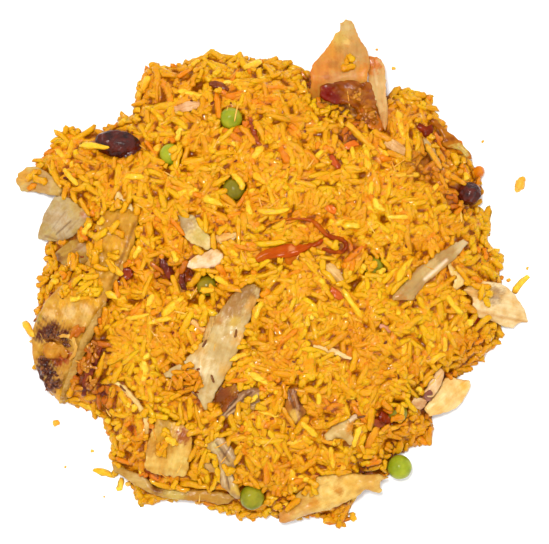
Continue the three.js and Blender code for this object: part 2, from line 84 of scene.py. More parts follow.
def movePoints(obj, places):
    obj.data.vertices.foreach_set("co", np.asarray(places, dtype=np.float32).ravel())
    obj.data.update()


def applyModifiers(obj):
    only(obj)
    for modifier in list(obj.modifiers):
        bpy.ops.object.modifier_apply(modifier=modifier.name)


def edit(select=None):  # into edit mode, with all or nothing selected where that is asked
    bpy.ops.object.mode_set(mode="EDIT")
    if select:
        bpy.ops.mesh.select_all(action=select)


def editDone():
    bpy.ops.object.mode_set(mode="OBJECT")


def copyOfNode(nodeName, pieceName):
    mesh = frame["nodes"][nodeName].data.copy()
    mesh.materials.clear()
    obj = bpy.data.objects.new(pieceName, mesh)
    scene.collection.objects.link(obj)
    only(obj)
    edit("SELECT")
    bpy.ops.mesh.remove_doubles(threshold=0.01 * mm)
    editDone()
    return obj


def keepMainBody(obj):  # what hangs together with the highest point stays
    only(obj)
    top = int(np.argmax(pointsOf(obj)[:, 2]))
    obj.data.vertices.foreach_set("select", np.arange(len(obj.data.vertices)) == top)
    obj.data.edges.foreach_set("select", np.zeros(len(obj.data.edges), dtype=bool))
    obj.data.polygons.foreach_set("select", np.zeros(len(obj.data.polygons), dtype=bool))
    edit()
    bpy.ops.mesh.select_mode(type="VERT")
    bpy.ops.mesh.select_linked()
    bpy.ops.mesh.select_all(action="INVERT")
    bpy.ops.mesh.delete(type="VERT")
    editDone()


def meshFrom(name, places, faces):
    mesh = bpy.data.meshes.new(name)
    mesh.from_pydata([tuple(p) for p in places], [], faces)
    obj = bpy.data.objects.new(name, mesh)
    scene.collection.objects.link(obj)
    return obj


def smoothFaces(obj):
    obj.data.polygons.foreach_set("use_smooth", [True] * len(obj.data.polygons))
    obj.data.update()


def finishPiece(obj, material, slot, *stoodFor):
    obj.data.materials.clear()
    obj.data.materials.append(material)
    smoothFaces(obj)
    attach(obj, "root")
    if stoodFor:
        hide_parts(*stoodFor)


def linear(tone):  # a tone is in percent of red, green and blue, as a screen shows it
    return [c / 12.92 if c <= 0.04045 else ((c + 0.055) / 1.055) ** 2.4 for c in (part / 100 for part in tone)]


def tintBetween(tones, amount):
    stops = np.array([linear(tone) for tone in tones])
    places = np.clip(amount, 0, 1) * (len(stops) - 1)
    return np.stack([np.interp(places, np.arange(len(stops)), stops[:, k]) for k in range(3)], 1)


def laidOver(tints, tone, share):
    return tints * (1 - share[:, None]) + np.array(linear(tone)) * share[:, None]


def paintPoints(obj, name, colours):
    layer = obj.data.attributes.new(name, "FLOAT_COLOR", "POINT")
    full = np.ones((len(obj.data.vertices), 4), dtype=np.float32)
    full[:, :3] = colours
    layer.data.foreach_set("color", full.ravel())


# materials: a small builder for node trees

class Recipe:
    def __init__(self, name):
        self.material = bpy.data.materials.new(name)
        self.material.use_nodes = True
        self.tree = self.material.node_tree
        self.shader = self.tree.nodes["Principled BSDF"]

    def node(self, kind, **settings):
        made = self.tree.nodes.new(kind)
        for key, value in settings.items():
            if hasattr(made, key):
                setattr(made, key, value)
            else:
                made.inputs[key.replace("_", " ")].default_value = value
        return made

    def link(self, source, target):
        self.tree.links.new(source, target)

    def into(self, socket, source):
        self.link(source, self.shader.inputs[socket])

    def place(self, scale=(1, 1, 1)):
        coordinates = self.node("ShaderNodeTexCoord")
        mapping = self.node("ShaderNodeMapping")
        mapping.inputs["Scale"].default_value = scale
        self.link(coordinates.outputs["Object"], mapping.inputs["Vector"])
        return mapping.outputs["Vector"]

    def attribute(self, name):
        return self.node("ShaderNodeAttribute", attribute_name=name)

    def speckle(self, where, scale, detail=3, roughness=0.55):
        made = self.node("ShaderNodeTexNoise", Scale=scale, Detail=detail, Roughness=roughness)
        self.link(where, made.inputs["Vector"])
        return made.outputs["Fac"]

    def ramp(self, source, *stops):
        made = self.node("ShaderNodeValToRGB")
        band = made.color_ramp
        while len(band.elements) < len(stops):
            band.elements.new(0.5)
        for element, (position, colour) in zip(band.elements, stops):
            element.position = position
            element.color = (*colour, 1) if len(colour) == 3 else colour
        self.link(source, made.inputs["Fac"])
        return made.outputs["Color"]

    def mix(self, amount, first, second, blend="MIX"):
        made = self.node("ShaderNodeMix", data_type="RGBA", blend_type=blend)
        if isinstance(amount, float):
            made.inputs[0].default_value = amount
        else:
            self.link(amount, made.inputs[0])
        for socket, value in ((made.inputs[6], first), (made.inputs[7], second)):
            if isinstance(value, (tuple, list)):
                socket.default_value = (*value, 1)
            else:
                self.link(value, socket)
        return made.outputs[2]

    def between(self, source, low, high, newLow, newHigh):
        made = self.node("ShaderNodeMapRange")
        self.link(source, made.inputs["Value"])
        for key, value in (("From Min", low), ("From Max", high), ("To Min", newLow), ("To Max", newHigh)):
            made.inputs[key].default_value = value
        return made.outputs["Result"]

    def darkened(self, tone, tint, pattern, low, high):  # the tint shows where the pattern is low
        darker = self.mix(1.0, tone, tint, "MULTIPLY")
        return self.mix(self.between(pattern, low, high, 0, 1), darker, tone)

    def bump(self, height, distance, strength=1.0):
        made = self.node("ShaderNodeBump", Distance=distance, Strength=strength)
        self.link(height, made.inputs["Height"])
        self.into("Normal", made.outputs["Normal"])

    def set(self, **values):
        for key, value in values.items():
            self.shader.inputs[key.replace("_", " ")].default_value = value


def speckledFinish(name, tones, cloud, stops, pores, depth, strength, **surface):
    made = Recipe(name)
    patches = made.speckle(made.place(), *cloud)
    made.into("Base Color", made.ramp(patches, *((stop, linear(tone)) for stop, tone in zip(stops, tones))))
    made.set(**surface)
    made.bump(made.speckle(made.place(), *pores), depth, strength)
    return made.material


# camera, floor and light

viewing = dict(height=0.8, lens=152.1, x=0.0007, y=0.0021, near=0.01)
light = dict(world=1.02, flash=4.4, flashSize=0.11, flashAt=(-0.05, 0.09, 0.72))
table = dict(tone=(0.92, 0.92, 0.92), rough=0.7, side=4)

camera = bpy.data.objects.new("camera", bpy.data.cameras.new("camera"))
scene.collection.objects.link(camera)
camera.location = (viewing["x"], viewing["y"], viewing["height"])
camera.data.lens = viewing["lens"]
camera.data.clip_start = viewing["near"]
scene.camera = camera

scene.view_settings.view_transform = "Standard"
world = bpy.data.worlds.new("studio")
scene.world = world
world.use_nodes = True
world.node_tree.nodes["Background"].inputs["Color"].default_value = (1, 1, 1, 1)
world.node_tree.nodes["Background"].inputs["Strength"].default_value = light["world"]

flash = bpy.data.objects.new("flash", bpy.data.lights.new("flash", "AREA"))
scene.collection.objects.link(flash)
flash.data.energy = light["flash"]
flash.data.size = light["flashSize"]
flash.location = light["flashAt"]
flash.rotation_euler = (-Vector(light["flashAt"])).to_track_quat("-Z", "Y").to_euler()

floorFinish = Recipe("paleTable")
floorFinish.set(Base_Color=(*table["tone"], 1), Roughness=table["rough"])
bpy.ops.mesh.primitive_plane_add(size=table["side"], location=(0, 0, 0))
floor = bpy.context.object
floor.name = "table_top"
floor.data.materials.append(floorFinish.material)
print("camera, table and light set")


# the heap's form

coreLook = dict(
    cells=400, sink=3.4, crumb=0.4, backFromRim=1.6, lowest=0.4, bottom=0.15, fill=0.12, clog=0.3,
    edgeFill=0.9, edgeBand=9, rim=2, rimBeside=2, crumbScale=1.3, crumbAbove=1, patch=5, patchShare=0.35,
    close=2, wide=12, wider=24,
    tones=[(81, 53, 3), (83, 58, 4), (85, 63, 6)],
)

cell = 0.4  # the heap is worked out on a fine grid of heights, in mm
gridSide = 480
reading = dict(skip=4, soften=40)
gridLow = -gridSide * cell / 2
gridAxis = gridLow + (np.arange(gridSide) + 0.5) * cell
gridX, gridY = np.meshgrid(gridAxis, gridAxis)

# Distance from the middle to the edge of the rice, every five degrees from +X round to +Y.
rimReach = [
    78.8, 78.4, 75.3, 78.0, 74.4, 79.5, 79.5, 79.0, 78.3, 79.8, 83.0, 80.0,
    69.6, 68.5, 67.5, 67.5, 71.4, 74.9, 75.7, 75.6, 77.6, 81.2, 80.6, 80.2,
    84.9, 80.5, 74.3, 75.9, 78.2, 88.7, 88.9, 90.0, 78.7, 77.2, 78.6, 77.7,
    79.3, 81.0, 82.0, 84.9, 86.2, 86.4, 83.8, 78.6, 75.8, 78.9, 85.3, 85.1,
    91.0, 83.5, 81.5, 81.5, 82.5, 83.0, 82.1, 82.7, 83.2, 88.6, 81.5, 75.8,
    79.0, 74.1, 76.0, 78.1, 69.5, 70.3, 70.4, 74.2, 77.7, 82.1, 78.8, 78.8,
]


def reachAt(x, y):
    turn = np.mod(np.arctan2(y, x) / (2 * math.pi), 1) * len(rimReach)
    return np.interp(turn, np.arange(len(rimReach) + 1), rimReach + rimReach[:1])


def surfaceOf(obj, x, y, missing, fromAbove=True):  # how high a piece's top or underside is at each place
    mesh = obj.data
    tree = BVHTree.FromPolygons([v.co for v in mesh.vertices], [list(f.vertices) for f in mesh.polygons])
    start, way = (100 * mm, -1) if fromAbove else (-10 * mm, 1)
    found = np.full(x.shape, float(missing))
    for i, (px, py) in enumerate(zip(x.ravel(), y.ravel())):
        hit = tree.ray_cast(Vector((px * mm, py * mm, start)), Vector((0, 0, way)))[0]
        if hit is not None:
            found.ravel()[i] = hit.z / mm
    return found


def cellOf(x, y):
    return tuple(np.clip(((np.asarray(k) - gridLow) / cell).astype(int), 0, gridSide - 1) for k in (y, x))


def blur(values, times):
    for _ in range(times):
        for axis in (0, 1):
            values = (np.roll(values, 1, axis) + 2 * values + np.roll(values, -1, axis)) / 4
    return values


def coarseTop(obj, skip, missing):
    places = gridAxis[skip // 2::skip]
    x, y = np.meshgrid(places, places)
    coarse = surfaceOf(obj, x, y, missing)
    rows = np.array([np.interp(gridAxis, places, row) for row in coarse])
    return np.array([np.interp(gridAxis, places, column) for column in rows.T]).T


heapTop = coarseTop(frame["nodes"]["rice"], reading["skip"], 0)
inHeap = (np.hypot(gridX, gridY) < reachAt(gridX, gridY)).astype(float)
heapSoft = blur(heapTop, reading["soften"])
height = np.zeros_like(heapTop)  # how high things lie so far
target = heapSoft.copy()  # how high the rice has to stand
print("height of the heap read:", round(float(heapTop.max()), 1), "mm")


# toppings: torn chicken, onion, chilli, peas and raisins

waves = dict(count=7, spread=(0.6, 1.6), level=3.2)


def ripple(x, y, size, seed):  # a soft random swell, about size across
    draw = np.random.default_rng(seed)
    total = np.zeros(np.shape(x))
    for i in range(waves["count"]):
        turn = draw.uniform(0, math.tau)
        wave = math.tau / size * draw.uniform(*waves["spread"])
        total += np.sin((x * math.cos(turn) + y * math.sin(turn)) * wave + draw.uniform(0, math.tau))
    return total / waves["level"]


def alongAndAcross(x, y, turn):
    return x * math.cos(turn) + y * math.sin(turn), y * math.cos(turn) - x * math.sin(turn)


def groundOf(nodeNames, spread):  # the level on which a piece lies, drawn from the solids it stands for
    rests = np.concatenate([pointsOf(frame["nodes"][name]) for name in nodeNames]) / mm
    atOnce = 4000

    def levels(x, y):
        found = np.empty(len(x))
        for start in range(0, len(x), atOnce):
            part = slice(start, start + atOnce)
            away = (x[part, None] - rests[None, :, 0]) ** 2 + (y[part, None] - rests[None, :, 1]) ** 2
            weight = np.exp(-(away - away.min(1, keepdims=True)) / (2 * spread ** 2))
            found[part] = (weight * rests[:, 2]).sum(1) / weight.sum(1)
        return found

    return levels


tearing = dict(
    step=0.7, jitter=0.12, tooth=2.6, sideways=3.1, rim=0.42, swell=0.58, lowest=0.15, soften=3, depth=0.5,
    lumpSize=13, knob=0.3, knobSize=4, spotLevel=0.7, spotRough=0.8, spotSize=2.6, bow=3,
)
fibres = dict(
    bend=0.55, bendSize=9, bendSlow=0.35, wander=0.22, wanderSize=7, heights=(-0.5, 0.6), strands=400, sharp=0.7,
    fine=2.7, fineWander=0.3, fineSize=5, fineSharp=0.8, fineShare=0.28, level=0.7,
)
# The last value sets how much darker the creases between fibres are painted, as painted shade.
mottle = dict(
    wide=0.34, wideSize=11, streak=0.12, streakSize=9, narrow=3, small=0.26, smallSize=3.4, creaseShading=0.13,
)
edges = dict(spot=1.25, spotSteep=1.5, ragged=0.24, raggedSize=3.2, fine=0.26, fineSize=1.1, line=1.2)


def walkOutline(outline, fray, fibre, seed):  # the outline in short steps, torn where it cuts across the fibres
    draw = np.random.default_rng(seed)
    corners = np.array(outline, dtype=float)
    way = (math.cos(fibre), math.sin(fibre))
    edge = []
    for a, b in zip(corners, np.roll(corners, -1, 0)):
        length = float(np.hypot(*(b - a)))
        out = np.array([b[1] - a[1], a[0] - b[0]]) / max(length, 0.001)
        facing = out @ way
        steps = max(1, round(length / tearing["step"]))
        for k in range(steps):
            place = a + (b - a) * k / steps
            v = place @ (-way[1], way[0])
            torn = fray * facing * float(ripple(v, tearing["sideways"] * np.sign(facing), tearing["tooth"], seed + 5))
            edge.append(place + np.array(way) * torn + out * draw.normal(0, tearing["jitter"]))
    return np.array(edge)


def distanceToLine(x, y, a, b):
    side = (b[0] - a[0], b[1] - a[1])
    long = max(side[0] ** 2 + side[1] ** 2, 1e-6)
    t = np.clip(((x - a[0]) * side[0] + (y - a[1]) * side[1]) / long, 0, 1)
    return np.hypot(x - a[0] - t * side[0], y - a[1] - t * side[1])


def distanceToEdge(x, y, edge):
    best = np.full(len(x), beyond)
    for a, b in zip(edge, np.roll(edge, -1, 0)):
        best = np.minimum(best, distanceToLine(x, y, a, b))
    return best


def fibreRelief(u, v, width, seed):  # strands along u, with finer ones on them; the second value is low in the creases and sets the painted shade there
    bend = fibres["bend"] * ripple(u * fibres["bendSlow"], v, width * fibres["bendSize"], seed)
    phase = v / width + bend + fibres["wander"] * ripple(u, v, width * fibres["wanderSize"], seed + 1)
    swell = np.abs(np.sin(math.pi * phase)) ** fibres["sharp"]
    count = fibres["strands"]
    lifts = np.random.default_rng(seed + 2).uniform(*fibres["heights"], count)
    lift = lifts[(np.floor(phase).astype(int) + count // 2) % count]
    finePhase = phase * fibres["fine"] + fibres["fineWander"] * ripple(u, v, width * fibres["fineSize"], seed + 3)
    fine = np.abs(np.sin(math.pi * finePhase)) ** fibres["fineSharp"]
    return swell * (1 + lift), swell * (1 - fibres["fineShare"]) + fine * fibres["fineShare"]


def spotShare(x, y, spot, seed):  # a spot is x, y, reach, tone, strength and, where it stands up, how high
    ragged = edges["ragged"] * ripple(x, y, edges["raggedSize"], seed + 9)
    ragged = ragged + edges["fine"] * ripple(x, y, edges["fineSize"], seed + 10)
    inside = edges["spot"] - np.hypot(x - spot[0], y - spot[1]) / spot[2] - ragged
    return spot[4] * np.clip(inside * edges["spotSteep"], 0, 1)


def lineShare(x, y, line):  # a line is x, y at both ends, width, tone and strength
    x1, y1, x2, y2, width = line[:5]
    return np.clip(edges["line"] - distanceToLine(x, y, (x1, y1), (x2, y2)) / width, 0, 1)


def paintMeat(obj, u, v, x, y, creaseShading, look, seed):
    amount = 0.5 + mottle["wide"] * ripple(x, y, mottle["wideSize"], seed + 7)
    amount = amount + mottle["streak"] * ripple(u, v * mottle["narrow"], mottle["streakSize"], seed + 8)
    amount = amount + mottle["small"] * ripple(x, y, mottle["smallSize"], seed + 12)
    colours = tintBetween(look["tones"], amount)
    for spot in look["spots"]:
        colours = laidOver(colours, spot[3], spotShare(x, y, spot, seed))
    for line in look["lines"]:
        colours = laidOver(colours, line[5], line[6] * lineShare(x, y, line))
    # Painted shade: the colour is darker in the creases between the fibres.
    colours = colours * (1 - mottle["creaseShading"] + mottle["creaseShading"] * np.clip(creaseShading, 0, 1))[:, None]
    paintPoints(obj, "paint", colours)
    layer = obj.data.attributes.new("fibre", "FLOAT_VECTOR", "POINT")
    layer.data.foreach_set("vector", np.stack([u, v, x * 0], 1).astype(np.float32).ravel())


def remeshPiece(obj, voxel, soften):
    remesh = obj.modifiers.new("remesh", "REMESH")
    remesh.mode = "VOXEL"
    remesh.voxel_size = voxel * mm
    smooth = obj.modifiers.new("soften", "SMOOTH")
    smooth.iterations = soften
    applyModifiers(obj)


tornBase = dict(
    slot="pale_chicken", finish="dry", fray=0.5, voxel=0.42, round=2.2, strand=1.5, relief=0.45, lumps=0.6, lift=0,
    follow=4, spots=[], lines=[],
)


def tornPiece(name, ground, ownLook, seed):
    look = dict(tornBase, **ownLook)
    thick = look["thick"]
    fibre = math.radians(look["fibre"])
    edge = walkOutline(look["outline"], look["fray"], fibre, seed)
    bpy.ops.mesh.primitive_circle_add(vertices=len(edge), radius=1, fill_type="NGON", location=(0, 0, 0))
    obj = bpy.context.object
    obj.name = name
    movePoints(obj, np.column_stack([edge, np.full(len(edge), -thick / 2)]) * mm)
    edit("SELECT")
    bpy.ops.mesh.extrude_region_move(TRANSFORM_OT_translate={"value": (0, 0, thick * mm)})
    bpy.ops.mesh.select_all(action="SELECT")
    bpy.ops.mesh.normals_make_consistent(inside=False)
    editDone()
    remeshPiece(obj, look["voxel"], tearing["soften"])
    x, y, z = pointsOf(obj).T / mm
    crown = np.clip(distanceToEdge(x, y, edge) / look["round"], 0, 1) ** 0.5
    top = np.clip(z / (thick / 2), 0, 1)
    u, v = alongAndAcross(x, y, fibre)
    swell, creaseShading = fibreRelief(u, v, look["strand"], seed)
    level = z * (tearing["rim"] + tearing["swell"] * crown)
    level += top * crown * look["relief"] * tearing["depth"] * (swell - fibres["level"])
    knobs = tearing["knob"] * ripple(x, y, tearing["knobSize"], seed + 6)
    level += look["lumps"] * (ripple(x, y, tearing["lumpSize"], seed + 4) + knobs) * crown
    for spot in look["spots"]:
        if len(spot) > 5:
            rough = tearing["spotLevel"] + tearing["spotRough"] * ripple(x, y, tearing["spotSize"], seed + 11)
            level += top * spot[5] * spotShare(x, y, spot, seed) * rough
    for line in look["lines"]:
        level -= top * tearing["depth"] * line[6] * lineShare(x, y, line)
    level += ground(x, y) + look["lift"]
    movePoints(obj, np.column_stack([x, y, np.maximum(level, tearing["lowest"])]) * mm)
    paintMeat(obj, u, v, x, y, creaseShading, look, seed)
    return obj


def dressedNode(nodeName, look, seed):  # a small solid with finer faces and strands along its own length
    obj = copyOfNode(nodeName, nodeName + "_dressed")
    remeshPiece(obj, look["voxel"], tearing["soften"])
    places = pointsOf(obj) / mm
    x, y, z = places.T
    flat = places[:, :2] - places[:, :2].mean(0)
    ways = np.linalg.svd(flat, full_matrices=False)[2]
    u = flat @ ways[0]
    v = flat @ ways[1]
    v = v - np.polyval(np.polyfit(u, v, tearing["bow"]), u)
    swell, creaseShading = fibreRelief(u, v, look["strand"], seed)
    normals = np.empty(len(places) * 3, dtype=np.float32)
    obj.data.vertices.foreach_get("normal", normals)
    push = look["relief"] * (swell - fibres["level"]) + look["lumps"] * ripple(x, y, tearing["spotSize"], seed + 4)
    places = places + normals.reshape(-1, 3) * push[:, None]
    movePoints(obj, places * mm)
    paintMeat(obj, u, v, x, y, creaseShading, look, seed)
    return obj


def alongFibres(made, scale):
    along = made.node("ShaderNodeMapping")
    along.inputs["Scale"].default_value = scale
    made.link(made.attribute("fibre").outputs["Vector"], along.inputs["Vector"])
    return along.outputs["Vector"]


# In the skins below, a pattern is its scale and detail, and its band says where it begins and where it's full.
meatSkin = dict(
    across=1.6, grain=(1.0, 5, 0.6), grainBand=(0.42, 0.6), grainTint=(0.96, 0.92, 0.85), cloud=(300, 4),
    cloudBand=(0.38, 0.6), cloudTint=(0.88, 0.76, 0.56), wet=(900, 2), wetBand=(0.4, 0.6), wetShare=0.4,
    pores=(420, 5, 0.6), grainHeight=0.3, depth=0.0006,
)


def meatFinish(name, roughness, coat, speckles=0.5, stretch=0.25, shine=0.14):
    made = Recipe(name)
    paint = made.attribute("paint").outputs["Color"]
    grain = made.speckle(alongFibres(made, (stretch, meatSkin["across"], meatSkin["across"])), *meatSkin["grain"])
    cloud = made.speckle(made.place(), *meatSkin["cloud"])
    tone = made.darkened(paint, meatSkin["grainTint"], grain, *meatSkin["grainBand"])
    made.into("Base Color", made.darkened(tone, meatSkin["cloudTint"], cloud, *meatSkin["cloudBand"]))
    wet = made.speckle(made.place(), *meatSkin["wet"])
    made.into("Roughness", made.between(wet, *meatSkin["wetBand"], roughness, roughness * meatSkin["wetShare"]))
    made.set(Coat_Weight=coat, Coat_Roughness=0.08, Specular_IOR_Level=shine)
    made.set(Subsurface_Weight=0.12, Subsurface_Scale=0.0015, Subsurface_Radius=(1.0, 0.5, 0.3))
    both = made.node("ShaderNodeMath", operation="MULTIPLY_ADD")
    made.link(grain, both.inputs[0])
    both.inputs[1].default_value = meatSkin["grainHeight"]
    made.link(made.speckle(made.place(), *meatSkin["pores"]), both.inputs[2])
    made.bump(both.outputs[0], meatSkin["depth"], speckles)
    return made.material


rust = (62, 28, 8)
whitish = (88, 74, 50)
yellowJuice = (84, 62, 14)
charBrown = (34, 14, 5)
charPurple = (32, 15, 11)

